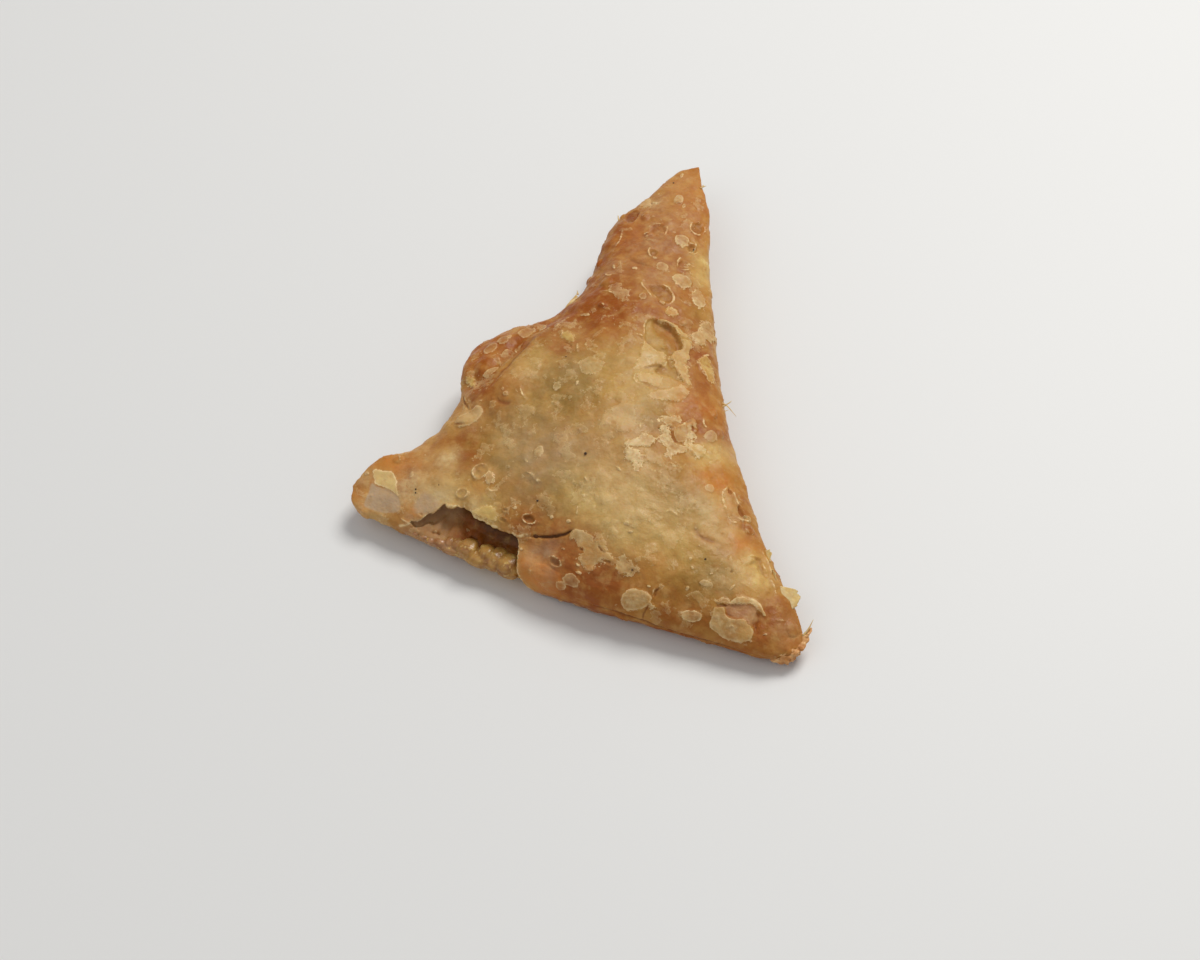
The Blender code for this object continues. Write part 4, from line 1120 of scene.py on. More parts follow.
# The free edge of the last layer but one shows as a seam along the front: a painted shadow line under it
# and a painted highlight along it.
SEAM = [
    (5.5, -69.8, 6.3), (11.9, -69.5, 6.2), (21.9, -68.8, 5.4), (29, -68.2, 4.5), (36.7, -67.8, 4.5),
    (45.3, -67.3, 4.1), (54, -66, 3.6),
]
crack([(x, y, z - 0.2) for x, y, z in SEAM], width=0.5, depth=0.4, dark=0.4)
ridge([(x, y, z + 0.5) for x, y, z in SEAM], width=0.3, height=0.16, lit=0.25)
# A ridge along the front edge under the left tip, with a painted highlight.
UNDER_TIP = [
    (-56.5, -64.5, 5.6), (-55.2, -66, 5.1), (-51.7, -66.5, 4.9), (-47.2, -66.9, 5.3), (-44.5, -66.9, 6.5),
]
ridge(UNDER_TIP, width=0.5, height=0.25, lit=0.36)

# Inside the gape the layers are brown, and painted shade darkens them inwards, most high up under the free
# edge and towards the flap; its left end is shallow and pale, with little of that shade. The jaw below it
# is blistered, and yellower towards the flap.
POCKET_LEFT, POCKET_RIGHT, POCKET_BACK = -47, -6, -50
JAW_TOP = 9.0
pocket = np.nonzero((spot_x > POCKET_LEFT) & (spot_x < POCKET_RIGHT) & (spot_y < POCKET_BACK))[0]
depth = np.zeros(count)
for i in pocket:
    nearest, normal, _, _ = whole.find_nearest(Vector(spots[i]))
    depth[i] = -(Vector(spots[i]) - nearest).dot(normal)
within = rising(depth, 0.3, 0.5)
for name in ("olive", "orange", "yellow", "pale", "frosted_and_sheen", "highlit_rim", "flake"):
    tints[name] *= 1 - within
tints["browned"] = np.maximum(tints["browned"], 0.95 * within)
gape_shade = 0.16 + 0.42 * rising(spot_z, 6.8, 2.6) + 0.2 * rising(depth, 3, 5)
gape_shade += 0.24 * rising(spot_x, -27, 5) * rising(spot_y, -66.5, 1.5)
tints["dark"] = np.maximum(tints["dark"], within * gape_shade * rising(spot_x, -39, 9))
tints["orange"] += 0.2 * within * ease(WOBBLE + 0.3)
tints["yellow"] += 0.4 * within * ease(WOBBLE - 0.1) * rising(spot_x, -26, 6)
shallow = within * falling(spot_x, -26, 8)
tints["browned"] -= 0.5 * shallow
tints["frosted_and_sheen"] += 0.4 * shallow
tints["dark"] *= 1 - 0.6 * shallow
tints["orange"] *= 1 - shallow
jaw = falling(spot_y, -60.5, 2) * rising(spot_x, -45, 5) * falling(spot_x, -9.5, 2) * (1 - within)
jaw *= spot_z < JAW_TOP
left_jaw = jaw * falling(spot_x, -22, 8)
tints["browned"] += 0.5 * left_jaw
tints["frosted_and_sheen"] += 0.3 * left_jaw
tints["yellow"] += 0.5 * jaw * rising(spot_x, -26, 5)
JAW_CRACKS = [
    [(-23.0, -63.6), (-22.6, -65.6), (-23.3, -66.8)], [(-16.6, -62.2), (-16.3, -64.4), (-16.9, -65.6)],
    [(-26.4, -63.8), (-24.9, -63.0), (-23.4, -63.4)], [(-35.5, -65.8), (-32.5, -65.2)],
]
for points in JAW_CRACKS:
    crack(points, width=0.5, depth=0.5, dark=0.5)


def edge_line(points, width, height, lit, pale):
    """Thickens a free edge of a sheet a little, paints a highlight along it, and browns it less than the
    sheet.
    """
    laid = np.array([p - ORIGIN for p in points])
    near = window(laid, 2.5)
    away = np.full(len(near), 99.0)
    for point in laid:
        away = np.minimum(away, np.linalg.norm(spots[near] - point, axis=1))
    crest = np.exp(-((away / width) ** 2)) * (0.85 + 0.35 * WOBBLE[near] + 0.2 * FINE_WOBBLE[near])
    lift[near] += height * crest
    tint("highlit_rim", near, lit * crest)
    tint("pale", near, pale * np.exp(-((away / (3 * width)) ** 2)))
    for name in ("browned", "dark"):
        tints[name][near] *= 1 - 0.8 * np.clip(crest, 0.0, 1.0)


# The free edge of the top sheet and the lower and left edges of the flap get painted highlights.
LIP_FROM, LIP_TO, LIP_STEP = 0.155, 0.42, 0.0015
LOWER_EDGE_STEPS = 40
lip_shares = np.arange(LIP_FROM, LIP_TO + LIP_STEP, LIP_STEP).tolist()
free_edge = [front_point(share, ragged_lip(share)) for share in lip_shares]
edge_line(free_edge, width=0.42, height=0.1, lit=0.75, pale=0.1)
flap_rows, _ = flap_sheets()
lower_edge = [row[-1] for row in flap_rows[:LOWER_EDGE_STEPS]]
edge_line(lower_edge, width=0.5, height=0.15, lit=0.35, pale=0.1)
edge_line(flap_rows[0][1:], width=0.45, height=0.15, lit=0.8, pale=0.2)

# Small bubbles and pits everywhere, and larger bubbles on the sides and the underside.
chance = np.random.default_rng(17)


def scatter_bubbles(among, amount, sizes, kinds, strengths, stretches, calm):
    """Bubbles at random points of the crust, smaller by calm where it is smooth."""
    for i in chance.choice(among, amount, replace=False):
        size = chance.uniform(*sizes) * (1 - calm * smooth[i])
        kind = chance.choice(list(kinds), p=list(kinds.values()))
        strength = chance.uniform(*strengths)
        finish = {name: strength * value for name, value in KINDS[kind].items()}
        length = size * chance.uniform(*stretches)
        blister(spots[i], size, length, chance.uniform(0, 180), **finish)


SMALL_BUBBLES = {"dot": 0.3, "pit": 0.2, "puff": 0.3, "ring": 0.2}
LARGE_BUBBLES = {"film": 0.3, "crater": 0.15, "puff": 0.3, "ring": 0.25}
scatter_bubbles(
    count, 300, sizes=(0.4, 0.9), kinds=SMALL_BUBBLES,
    strengths=(0.25, 0.7), stretches=(0.7, 1.5), calm=0.4,
)
low_side = np.nonzero(facing[:, 2] < 0.15)[0]
scatter_bubbles(
    low_side, 130, sizes=(1.6, 4.4), kinds=LARGE_BUBBLES,
    strengths=(0.5, 1.0), stretches=(0.6, 1.3), calm=0.0,
)
under = 1 - rising(facing[:, 2], -0.5, 0.6)
tints["browned"] += under * np.clip(0.45 + 0.35 * noise_over(9.0, 31.0), 0.0, 0.8)
tints["olive"] += under * np.clip(0.5 * noise_over(13.0, 37.0), 0.0, 0.5)

spots += facing * lift[:, None]
spots[:, 2] = np.maximum(spots[:, 2], 0.0)
skin.vertices.foreach_set("co", (spots * MM).ravel())
for name, amount in tints.items():
    layer = skin.attributes.new(name, "FLOAT", "POINT")
    layer.data.foreach_set("value", np.clip(amount, 0.0, 1.0))

# The skin keeps its finest mesh where there is relief.
fine = placed("fine", skin)
thin = fine.modifiers.new("thin", "DECIMATE")
thin.ratio = CRUST_TRIANGLES / sum(len(p.vertices) - 2 for p in skin.polygons)
crust = placed("crust", settled(fine))


def tone(red, green, blue):
    """A colour from its shares out of 255 as a screen shows it."""
    return (*((c / 255) ** 2.2 for c in (red, green, blue)), 1.0)


GOLDEN = tone(194, 144, 72)
AMBER = tone(176, 119, 50)
OLIVE = tone(146, 110, 45)
CHESTNUT = tone(150, 80, 22)
APRICOT = tone(206, 122, 42)
HAZE = tone(208, 164, 100)
STRAW_TONE = tone(216, 182, 108)
CREAM_TONE = tone(214, 184, 132)
# A greyish cream for dry frosted films, and also a painted pinkish sheen on the flap.
FROSTED_AND_SHEEN_TONE = tone(194, 163, 128)
# A pale cream: painted highlights on the crust, and the real pale of the leaves and the crumbs.
CREAM_AND_HIGHLIGHT_TONE = tone(236, 206, 152)
# A dark brown, for the crust's own dark spots and for painted shade in cracks, pits, hollows and the gape.
SCORCH_AND_SHADE_TONE = tone(94, 54, 16)


def node(tree, kind, values=(), **settings):
    """A node with its settings, and the values or links of its inputs. A kind that isn't given in
    full is one of the shader nodes."""
    made = tree.nodes.new(kind if "Node" in kind else "ShaderNode" + kind)
    for name, value in settings.items():
        setattr(made, name, value)
    return fed(made, dict(values))


def blend_colours(tree, share, first, second):
    """The first colour where the share is 0, the second where it is 1, and mixed between."""
    return node(tree, "Mix", {0: share, 6: first, 7: second}, data_type="RGBA").outputs[2]


def product(tree, first, second, operation="MULTIPLY", **settings):
    """The product of two values, or what another operation makes of them."""
    return node(tree, "Math", {0: first, 1: second}, operation=operation, **settings).outputs[0]


def clouds(tree, scale, detail, **more):
    """Random soft blotches all through a piece, about 1 / scale metres across."""
    place = node(tree, "TexCoord").outputs["Object"]
    values = {"Vector": place, "Scale": scale, "Detail": detail, **more}
    return node(tree, "TexNoise", values).outputs["Fac"]


def between(tree, value, low, high, to_low=0.0, to_high=1.0, **settings):
    """A value that runs from to_low to to_high while another runs from low to high."""
    values = {"Value": value, "From Min": low, "From Max": high, "To Min": to_low, "To Max": to_high}
    return node(tree, "MapRange", values, **settings).outputs[0]


def bumped(tree, height, strength, distance, **more):
    """A fine relief, laid over another one if more says which."""
    values = {"Height": height, "Strength": strength, "Distance": distance, **more}
    return node(tree, "Bump", values).outputs[0]


def uneven_group():
    """Breaks up a mask with fine grain, so that its edge frays as fried pastry does."""
    group = bpy.data.node_groups.new("uneven", "ShaderNodeTree")
    for name in ("Mask", "Grain Size", "Strength"):
        group.interface.new_socket(name, in_out="INPUT", socket_type="NodeSocketFloat")
    group.interface.new_socket("Mask", in_out="OUTPUT", socket_type="NodeSocketFloat")
    given = group.nodes.new("NodeGroupInput").outputs
    scale = product(group, 1.0, given["Grain Size"], "DIVIDE")
    grain = between(group, clouds(group, scale, 3.0, Roughness=0.6), 0.3, 0.7, -1.0, 1.0)
    factor = product(group, product(group, grain, given["Strength"]), 1.0, "ADD")
    result = product(group, given["Mask"], factor, use_clamp=True)
    fed(group.nodes.new("NodeGroupOutput"), {"Mask": result})
    return group


UNEVEN = uneven_group()


def uneven(tree, mask, size, strength):
    """A mask broken up by grain of this size in metres."""
    values = {"Mask": mask, "Grain Size": size, "Strength": strength}
    return node(tree, "Group", values, node_tree=UNEVEN).outputs["Mask"]


def fried_pastry():
    """The finish of the crust: golden, brown where its tints say so, mottled, and a little oily, with
    painted highlights on rims and edges and painted shade in cracks, pits, hollows and the gape.
    """
    material, tree, shader = new_material("fried_pastry")

    def grain(size, detail=3.0, roughness=0.55):
        return clouds(tree, 1 / size, detail, Roughness=roughness)

    def eased(*values):
        return between(tree, *values, interpolation_type="SMOOTHSTEP")

    def tinted(name):
        return node(tree, "Attribute", attribute_name=name).outputs["Fac"]

    # The broad tones, with clouds of paler and darker crust between them.
    colour = blend_colours(tree, eased(grain(0.006, 4.0), 0.38, 0.62), GOLDEN, AMBER)
    for name, size, strength, tone_of_tint in (
        ("olive", 0.004, 0.45, OLIVE),
        ("orange", 0.003, 0.3, APRICOT),
        ("browned", 0.003, 0.35, CHESTNUT),
    ):
        colour = blend_colours(tree, uneven(tree, tinted(name), size, strength), colour, tone_of_tint)
    colour = blend_colours(tree, eased(grain(0.0028), 0.5, 0.72, 0.0, 0.34), colour, HAZE)
    colour = blend_colours(tree, eased(grain(0.0017), 0.52, 0.75, 0.0, 0.30), colour, CHESTNUT)
    for name, size, strength, tone_of_tint in (
        ("yellow", 0.0016, 0.35, STRAW_TONE),
        ("pale", 0.0011, 0.4, CREAM_TONE),
        ("frosted_and_sheen", 0.0022, 0.3, FROSTED_AND_SHEEN_TONE),
    ):
        colour = blend_colours(tree, uneven(tree, tinted(name), size, strength), colour, tone_of_tint)

    # A flake or film: its edge frays, its inside is mottled, and its brim gets a painted highlight.
    fray = product(tree, eased(grain(0.0008, 4.0, 0.65), 0.25, 0.75, -0.26, 0.26), tinted("frayed"))
    edge = product(tree, tinted("flake"), fray, "ADD")
    sheet = eased(edge, 0.47, 0.53)
    film = product(tree, tinted("film"), sheet)
    husk = blend_colours(tree, tinted("husk"), CREAM_TONE, STRAW_TONE)
    cover = product(tree, film, eased(grain(0.004, 2.0), 0.36, 0.64, 0.5, 1.25))
    colour = blend_colours(tree, uneven(tree, cover, 0.0012, 0.65), colour, husk)
    lit_brim = product(tree, film, eased(edge, 0.53, 0.72, 1.0, 0.0))
    colour = blend_colours(tree, uneven(tree, lit_brim, 0.0016, 0.8), colour, CREAM_AND_HIGHLIGHT_TONE)

    # Dark marks: the crust's own dark brown, and painted shade in cracks, pits, hollows and the gape.
    dark = eased(uneven(tree, tinted("dark"), 0.0012, 0.25), 0.05, 0.75)
    colour = blend_colours(tree, dark, colour, SCORCH_AND_SHADE_TONE)
    # The painted highlight along rims, ridges and free edges.
    highlit_rim = eased(uneven(tree, tinted("highlit_rim"), 0.0009, 0.5), 0.2, 0.75, 0.0, 0.85)
    relief = bumped(tree, film, 0.4, 0.0003)
    relief = bumped(tree, grain(0.0012, 4.0), 0.45, 0.0005, Normal=relief)
    relief = bumped(tree, grain(0.0004, 2.0), 0.25, 0.00018, Normal=relief)
    fed(shader, {
        "Base Color": blend_colours(tree, highlit_rim, colour, CREAM_AND_HIGHLIGHT_TONE),
        "Roughness": eased(grain(0.0022), 0.3, 0.7, 0.32, 0.54),
        "Normal": relief,
        "Specular IOR Level": 0.24,
        "Subsurface Weight": 0.22,
        "Subsurface Radius": (1.0, 0.5, 0.22),
        "Subsurface Scale": 0.0018,
    })
    return material


def finished(piece, material):
    """Makes a piece look smooth and gives it its one material."""
    piece.data.shade_smooth()
    piece.data.materials.clear()
    piece.data.materials.append(material)


finished(crust, fried_pastry())
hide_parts("samosa")
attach(crust, "root")

# ---------------------------------------------------------------------------------------------
# The loose leaves and shreds.
# Dry leaves of the outermost layer, thinner than a fingernail, that came up in the oil and stand
# off the folds, and a few shreds of dough that fried stiff. All are stuck to the crust at one side.

LEAF_THICKNESS = 0.24
LEAF_STEPS, LEAF_ROWS = 14, 9


def leaf(root, free, curl, seed):
    """A leaf between the line where it is stuck on and its free edge, with its curl upwards."""
    upper, lower = [], []
    middle_root = (Vector(root[0]) + Vector(root[-1])) / 2
    middle_free = (Vector(free[0]) + Vector(free[-1])) / 2
    along = Vector(root[-1]) - Vector(root[0])
    normal = along.cross(middle_free - middle_root).normalized()
    if normal.z < 0:
        normal = -normal
    for j in range(LEAF_ROWS + 1):
        out = j / LEAF_ROWS
        upper_row, lower_row = [], []
        for i in range(LEAF_STEPS + 1):
            share = i / LEAF_STEPS
            start, end = catmull_rom(root, share), catmull_rom(free, share)
            frayed = 1 + 0.12 * wander(share, 0.3, seed) + 0.05 * wander(share, 0.1, seed + 4)
            point = start.lerp(end, out * frayed)
            wavy = 0.25 * wander(share + 0.4 * out, 0.35, seed + 9) * out
            point = point + normal * (curl * out * out + wavy)
            half = normal * (LEAF_THICKNESS * (0.5 - 0.25 * out))
            upper_row.append(point + half + ORIGIN)
            lower_row.append(point - half + ORIGIN)
        upper.append(upper_row)
        lower.append(lower_row)
    return closed_sheets("leaf", upper, lower)


LEAVES = [
    # the broad one by the right corner
    ([(48.6, -50.0, 8.9), (51.0, -52.2, 8.4), (53.6, -55.0, 7.4)],
     [(52.9, -49.2, 8.3), (54.2, -50.2, 7.9), (55.0, -52.4, 7.2)], 0.3, 1.0),
    # the tatters along the right fold
    ([(42.3, -42.4, 9.6), (43.4, -43.5, 9.6), (44.6, -45.2, 9.4)],
     [(43.8, -42.0, 10.2), (44.6, -42.9, 10.2), (45.3, -44.8, 9.7)], 0.2, 4.0),
    ([(46.0, -47.0, 9.4), (46.9, -47.9, 9.3), (47.8, -49.0, 9.1)],
     [(46.9, -46.9, 9.9), (47.7, -47.7, 9.9), (48.3, -48.8, 9.6)], 0.2, 5.0),
    ([(33.2, -38.6, 11.6), (34.4, -38.6, 11.4), (35.8, -37.9, 11.0)],
     [(33.4, -39.9, 11.9), (34.9, -39.7, 11.8), (36.4, -38.5, 11.4)], 0.3, 6.0),
    ([(34.4, -36.9, 11.7), (35.4, -37.1, 11.4), (36.3, -37.4, 11.0)],
     [(35.0, -36.0, 12.1), (36.1, -36.3, 11.8), (36.9, -36.8, 11.4)], 0.25, 7.0),
    # the neck and the tip
    ([(-32.1, 6.4, 14.4), (-31.6, 9.0, 14.8), (-31.2, 11.6, 14.9)],
     [(-32.7, 6.8, 14.7), (-32.4, 9.4, 15.1), (-31.8, 11.6, 15.3)], 0.1, 8.0),
    ([(-8.3, 42.4, 14.4), (-7.4, 39.8, 14.4), (-6.6, 36.8, 14.2)],
     [(-7.3, 42.2, 13.6), (-6.1, 39.8, 13.2), (-5.6, 37.0, 13.2)], -0.3, 9.0),
]
SHREDS = [
    [(58.6, -58.6, 5.2), (59.3, -57, 5.9), (59.7, -54.6, 7.2)],
    [(16.6, -6.2, 12.6), (18.4, -6.8, 13), (21.6, -8.6, 12.3)],
    [(16.9, -7.8, 12.4), (18.6, -6, 13.2), (19, -5.2, 13.4)], [(17.6, -9, 12.4), (19.2, -7.6, 12.6)],
    [(-17.6, 61.6, 13.6), (-16.9, 62.2, 13.9), (-16.3, 62.6, 14)],
    [(-17.2, 62.6, 13.7), (-16.8, 61.9, 13.9)], [(-31.4, 12, 15.2), (-31.9, 12.8, 15.9)],
    [(-33.2, 42, 13.5), (-33.9, 43, 13.9), (-34.3, 43.8, 13.8)], [(45.8, -46.8, 9.6), (47, -47, 10.3)],
    [(21.2, -19.6, 15.3), (23.4, -22, 15)],
]


SHRED_THICKNESS = 0.56
SHRED_STEPS, SHRED_SIDES = 8, 6


def shred(points):
    """A shred of dough, thick where it is stuck on and pointed at its end."""
    steps, sides = SHRED_STEPS, SHRED_SIDES
    centres = [catmull_rom(points, k / steps) for k in range(steps + 1)]
    bm = bmesh.new()
    rings = []
    for k, centre in enumerate(centres):
        ahead = (centres[min(k + 1, steps)] - centres[max(k - 1, 0)]).normalized()
        side = ahead.orthogonal().normalized()
        knotty = 1 + 0.25 * wander(k / steps, 0.3, points[0][0])
        radius = SHRED_THICKNESS * (0.5 - 0.4 * k / steps) * knotty
        turns = [Quaternion(ahead, 2 * math.pi * i / sides) for i in range(sides)]
        rings.append([bm.verts.new((centre + turn @ side * radius) * MM) for turn in turns])
    for ring, following in zip(rings, rings[1:]):
        for i in range(sides):
            j = (i + 1) % sides
            bm.faces.new((ring[i], ring[j], following[j], following[i]))
    bm.faces.new(reversed(rings[0]))
    bm.faces.new(rings[-1])
    bmesh.ops.recalc_face_normals(bm, faces=bm.faces)
    return from_bmesh("shred", bm)


def gathered(name, parts):
    """One piece from several."""
    bm = bmesh.new()
    for part in parts:
        bm.from_mesh(part.data)
        bpy.data.objects.remove(part)
    return from_bmesh(name, bm)
LEAF_TONE = tone(222, 186, 122)


def dry_leaf():
    """Dry fried dough: straw to amber, mottled, and less oily than the crust."""
    material, tree, shader = new_material("dry_leaf")
    blotches = between(tree, clouds(tree, 420.0, 4.0), 0.35, 0.65)
    straw = blend_colours(tree, blotches, CREAM_AND_HIGHLIGHT_TONE, LEAF_TONE)
    fed(shader, {
        "Base Color": blend_colours(tree, uneven(tree, 0.22, 0.0014, 0.9), straw, AMBER),
        "Normal": bumped(tree, clouds(tree, 1500.0, 3.0), 0.4, 0.0003),
        "Roughness": 0.45,
        "Specular IOR Level": 0.35,
        "Subsurface Weight": 0.3,
        "Subsurface Radius": (1.0, 0.6, 0.3),
        "Subsurface Scale": 0.002,
    })
    return material


leaves = gathered("leaves", [leaf(*shape) for shape in LEAVES])
finished(leaves, dry_leaf())
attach(leaves, "root")
shreds = gathered("shreds", [shred(points) for points in SHREDS])
finished(shreds, leaves.data.materials[0])
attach(shreds, "root")

# ---------------------------------------------------------------------------------------------
# The blisters of the jaw.
# Lumps of dough that swelled out through the open seam and fried hard in a row along its lower
# edge. They are glossy, straw-coloured to brown, and grown together.

LUMPS = [
    (-38.9, -67.1, 5.9, 0.8, 0.6, 0.5), (-36.6, -67.3, 5.8, 0.9, 0.6, 0.6),
    (-34.6, -67.5, 5.6, 1.3, 1, 0.9), (-32.2, -67.3, 5.6, 1.9, 1.2, 1.2), (-30, -66.2, 6, 1.1, 1.6, 1.1),
    (-27.8, -66, 6.1, 1.3, 1.7, 1.2), (-29.2, -67.6, 5, 3.2, 1.3, 1.2),
    (-24.8, -66.3, 5.5, 2.7, 2.8, 2.5), (-21.9, -67.6, 4.9, 3.6, 1.9, 1.9),
    (-20.2, -65.6, 5.5, 2.3, 2.6, 2.2), (-16.9, -65.4, 5.4, 2.3, 2.7, 2),
    (-17.8, -67.2, 4.9, 3.2, 2, 1.8), (-13.7, -66.2, 5.4, 3.4, 3, 2.2),
    (-13.4, -68.3, 4.7, 2.8, 1.3, 1.4), (-24.6, -67.2, 4.4, 6.5, 1.3, 1),
]


SQUARENESS = 2.3  # 2 makes a lump round, and more makes it squarer
BLISTER_ROUGH = 0.14
BLISTER_VOXEL = 0.16
MERGE_STEPS = 6
LEFT_TONE = tone(172, 124, 84)
RIGHT_TONE = tone(186, 140, 72)
BLOTCH_TONE = tone(140, 88, 38)
LEFT_ENDS, RIGHT_STARTS = -0.031, -0.024


def lump(x, y, z, wide, deep, high, seed, rough):
    """A lump of dough, a little square and dented all over."""
    bm = bmesh.new()
    bmesh.ops.create_icosphere(bm, subdivisions=4, radius=1.0)
    for vertex in bm.verts:
        vertex.co /= sum(abs(c) ** SQUARENESS for c in vertex.co) ** (1 / SQUARENESS)
        place = vertex.co + Vector((seed, 0.3 * seed, 0.0))
        dent = 1 + rough * (noise.noise(1.1 * place) + 0.3 * noise.noise(3.1 * place))
        size = Vector((wide, deep, high))
        vertex.co = (Vector((x, y, z)) + dent * vertex.co * size) * MM
    return from_bmesh("lump", bm)


def blistered_dough():
    """Fried dough that swelled: yellower towards the flap, blotched with brown, and oily, with painted
    highlights on the crowns of its small bumps.
    """
    material, tree, shader = new_material("blistered_dough")
    east = node(tree, "SeparateXYZ", {0: node(tree, "TexCoord").outputs["Object"]}).outputs[0]
    straw = between(tree, east, LEFT_ENDS, RIGHT_STARTS)
    base = blend_colours(tree, straw, LEFT_TONE, RIGHT_TONE)
    brown = between(tree, clouds(tree, 450.0, 3.0), 0.4, 0.65)
    colour = blend_colours(tree, brown, base, BLOTCH_TONE)
    # The crowns of the small bumps are lighter there as painted highlights.
    crowns = clouds(tree, 900.0, 3.0)
    lights = uneven(tree, between(tree, crowns, 0.56, 0.75), 0.0008, 0.5)
    fed(shader, {
        "Base Color": blend_colours(tree, lights, colour, STRAW_TONE),
        "Normal": bumped(tree, crowns, 0.5, 0.0003),
        "Roughness": 0.28,
        "Subsurface Weight": 0.3,
        "Subsurface Radius": (1.0, 0.5, 0.22),
        "Subsurface Scale": 0.002,
    })
    return material


grown = gathered("grown", [lump(*shape, seed, BLISTER_ROUGH) for seed, shape in enumerate(LUMPS)])
evened(grown, BLISTER_VOXEL)
merge = grown.modifiers.new("merge", "SMOOTH")
merge.factor = 0.5
merge.iterations = MERGE_STEPS
jaw_blisters = placed("jaw_blisters", settled(grown))
finished(jaw_blisters, blistered_dough())
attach(jaw_blisters, "root")

# ---------------------------------------------------------------------------------------------
# The frayed corner.
# The right corner was pinched shut and its layers broke up in the oil: rough brown crumbs and
# splinters of pastry, grown together along the end of the crust.

CRUMBS = [
    (55.4, -65.3, 3, 1, 0.5, 0.5), (56.4, -64.7, 3.5, 0.9, 0.6, 0.7), (57.2, -63.8, 3, 0.8, 0.7, 0.8),
    (57.9, -62.8, 3.3, 0.7, 0.8, 0.7), (58.1, -61.5, 3.7, 0.7, 0.8, 0.8), (58.5, -60.3, 4, 0.6, 0.8, 0.7),
    (58.8, -59.2, 4.5, 0.6, 0.8, 0.6), (59.1, -58.1, 5, 0.4, 0.9, 0.4), (57.2, -62.6, 4.6, 0.7, 0.6, 0.5),
    (57.5, -60.9, 5, 0.5, 0.8, 0.4), (56.2, -64, 4.5, 0.7, 0.5, 0.4), (57, -65, 2.2, 0.7, 0.5, 0.6),
    (58.3, -63.3, 2.4, 0.4, 0.6, 0.5), (58, -58.6, 5.3, 0.4, 0.6, 0.3), (59.1, -58.8, 4.6, 0.9, 1.5, 0.7),
    (59.6, -57.2, 5.2, 0.5, 1.3, 0.5), (58.8, -60.6, 4.1, 1, 1.3, 0.9), (58.3, -62.2, 3.6, 1.2, 1.2, 1.1),
    (57.5, -63.6, 3.1, 1.4, 1.1, 1.1), (56.4, -64.7, 2.8, 1.6, 0.8, 1.1), (55, -65.5, 2.6, 1.6, 0.6, 0.9),
    (56.9, -62.9, 4.6, 1, 0.9, 0.5), (55.4, -64.6, 4.4, 0.7, 0.5, 0.4),
]


CRUMB_ROUGH = 0.6
CRUMB_VOXEL = 0.12
FIRST_CRUMB_SEED = 20
CRUMB_TONE = tone(194, 130, 72)
CRUMB_LIGHT = tone(224, 172, 114)


def crumbly_pastry():
    """Broken pastry: orange-brown, with paler broken edges."""
    material, tree, shader = new_material("crumbly_pastry")
    layers = clouds(tree, 700.0, 4.0)
    colour = blend_colours(tree, between(tree, layers, 0.4, 0.62), CRUMB_TONE, CRUMB_LIGHT)
    broken = uneven(tree, between(tree, layers, 0.6, 0.72), 0.0006, 0.6)
    fed(shader, {
        "Base Color": blend_colours(tree, broken, colour, CREAM_AND_HIGHLIGHT_TONE),
        "Normal": bumped(tree, layers, 0.8, 0.0006),
        "Roughness": 0.42,
        "Specular IOR Level": 0.3,
    })
    return material


shapes = enumerate(CRUMBS, FIRST_CRUMB_SEED)
crumbs = gathered("crumbs", [lump(*shape, seed, CRUMB_ROUGH) for seed, shape in shapes])
evened(crumbs, CRUMB_VOXEL)
frayed_corner = placed("frayed_corner", settled(crumbs))
finished(frayed_corner, crumbly_pastry())
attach(frayed_corner, "root")

# ---------------------------------------------------------------------------------------------
# The specks of pepper.
# Grains of coarsely ground black pepper from the dough, fried into the surface of the crust.

GRAINS = [
    (-37, -56.3, 0.28), (-42.5, -58.6, 0.24), (-42.2, -59.4, 0.2), (-4.5, -39.9, 0.32),
    (-11, -53.9, 0.28), (31.9, -52.7, 0.24), (-21.8, -14.2, 0.2), (-8.9, 36.6, 0.22), (17.2, -61.9, 0.2),
    (-25, 60.2, 0.2),
]
GRAIN_ROUGHNESS = 0.3
GRAIN_SEED = 4
WHOLE_TURN = (6.28, 6.28, 6.28)
HUSK_TONE = tone(40, 24, 12)
BROKEN_HUSK = tone(86, 62, 40)


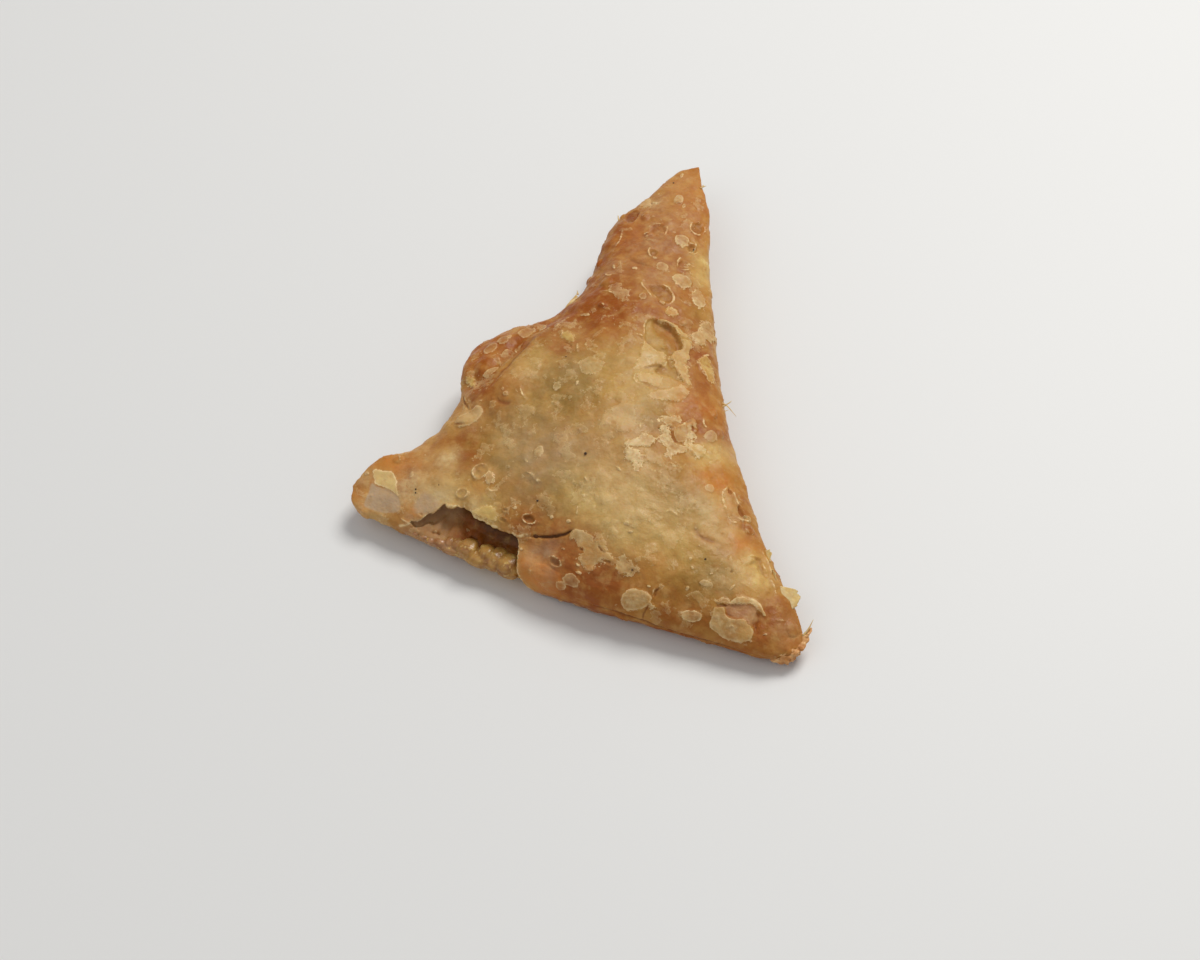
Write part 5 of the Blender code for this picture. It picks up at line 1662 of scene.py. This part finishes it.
def grain_tree():
    """Sets a rough grain on every place, turned at random and as big as that place's radius says."""
    tree = bpy.data.node_groups.new("grains", "GeometryNodeTree")
    wanted = {"Places": "Geometry", "Grain Size": "Float", "Roughness": "Float", "Seed": "Int"}
    for name, kind in {**wanted, "Husk": "Material"}.items():
        tree.interface.new_socket(name, in_out="INPUT", socket_type="NodeSocket" + kind)
    tree.interface.new_socket("Grains", in_out="OUTPUT", socket_type="NodeSocketGeometry")
    given = tree.nodes.new("NodeGroupInput").outputs
    ball = node(tree, "GeometryNodeMeshIcoSphere", {"Radius": given["Grain Size"], "Subdivisions": 3})
    outward = node(tree, "GeometryNodeInputNormal").outputs[0]
    dents = node(tree, "TexNoise", {"Vector": outward, "Scale": 1.6, "Detail": 2.0}).outputs[0]
    depth = product(tree, between(tree, dents, 0.3, 0.7, -1.0, 1.0), given["Roughness"])
    depth = product(tree, depth, given["Grain Size"])
    offset = node(tree, "VectorMath", {0: outward, "Scale": depth}, operation="SCALE")
    rough = node(tree, "GeometryNodeSetPosition", {0: ball.outputs[0], "Offset": offset.outputs[0]})
    radius = node(tree, "GeometryNodeInputNamedAttribute", {"Name": "radius"}, data_type="FLOAT")
    turn = {"Max": WHOLE_TURN, "Seed": given["Seed"]}
    turned = node(tree, "FunctionNodeRandomValue", turn, data_type="FLOAT_VECTOR")
    grains = {"Points": given["Places"], "Instance": rough.outputs[0], "Rotation": turned.outputs[0]}
    grains = node(tree, "GeometryNodeInstanceOnPoints", {**grains, "Scale": radius.outputs[0]})
    real = node(tree, "GeometryNodeRealizeInstances", {0: grains.outputs[0]})
    done = node(tree, "GeometryNodeSetMaterial", {0: real.outputs[0], "Material": given["Husk"]})
    tree.links.new(done.outputs[0], tree.nodes.new("NodeGroupOutput").inputs[0])
    return tree


def black_pepper():
    """Dark brown, with greyer patches where the husk is broken."""
    material, tree, shader = new_material("black_pepper")
    husk = clouds(tree, 4000.0, 2.0)
    fed(shader, {
        "Base Color": blend_colours(tree, husk, HUSK_TONE, BROKEN_HUSK),
        "Normal": bumped(tree, husk, 0.5, 0.0001),
        "Roughness": 0.6,
    })
    return material


places = bpy.data.meshes.new("places")
places.from_pydata([on_top(x, y) * MM for x, y, _ in GRAINS], [], [])
radii = places.attributes.new("radius", "FLOAT", "POINT")
radii.data.foreach_set("value", [radius for _, _, radius in GRAINS])
scattered = placed("scattered", places)
scatter = scattered.modifiers.new("scatter", "NODES")
scatter.node_group = grain_tree()
sockets = {item.name: item.identifier for item in scatter.node_group.interface.items_tree}
scatter[sockets["Grain Size"]] = MM
scatter[sockets["Roughness"]] = GRAIN_ROUGHNESS
scatter[sockets["Seed"]] = GRAIN_SEED
scatter[sockets["Husk"]] = black_pepper()
pepper = placed("pepper", settled(scattered))
pepper.data.shade_smooth()
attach(pepper, "root")
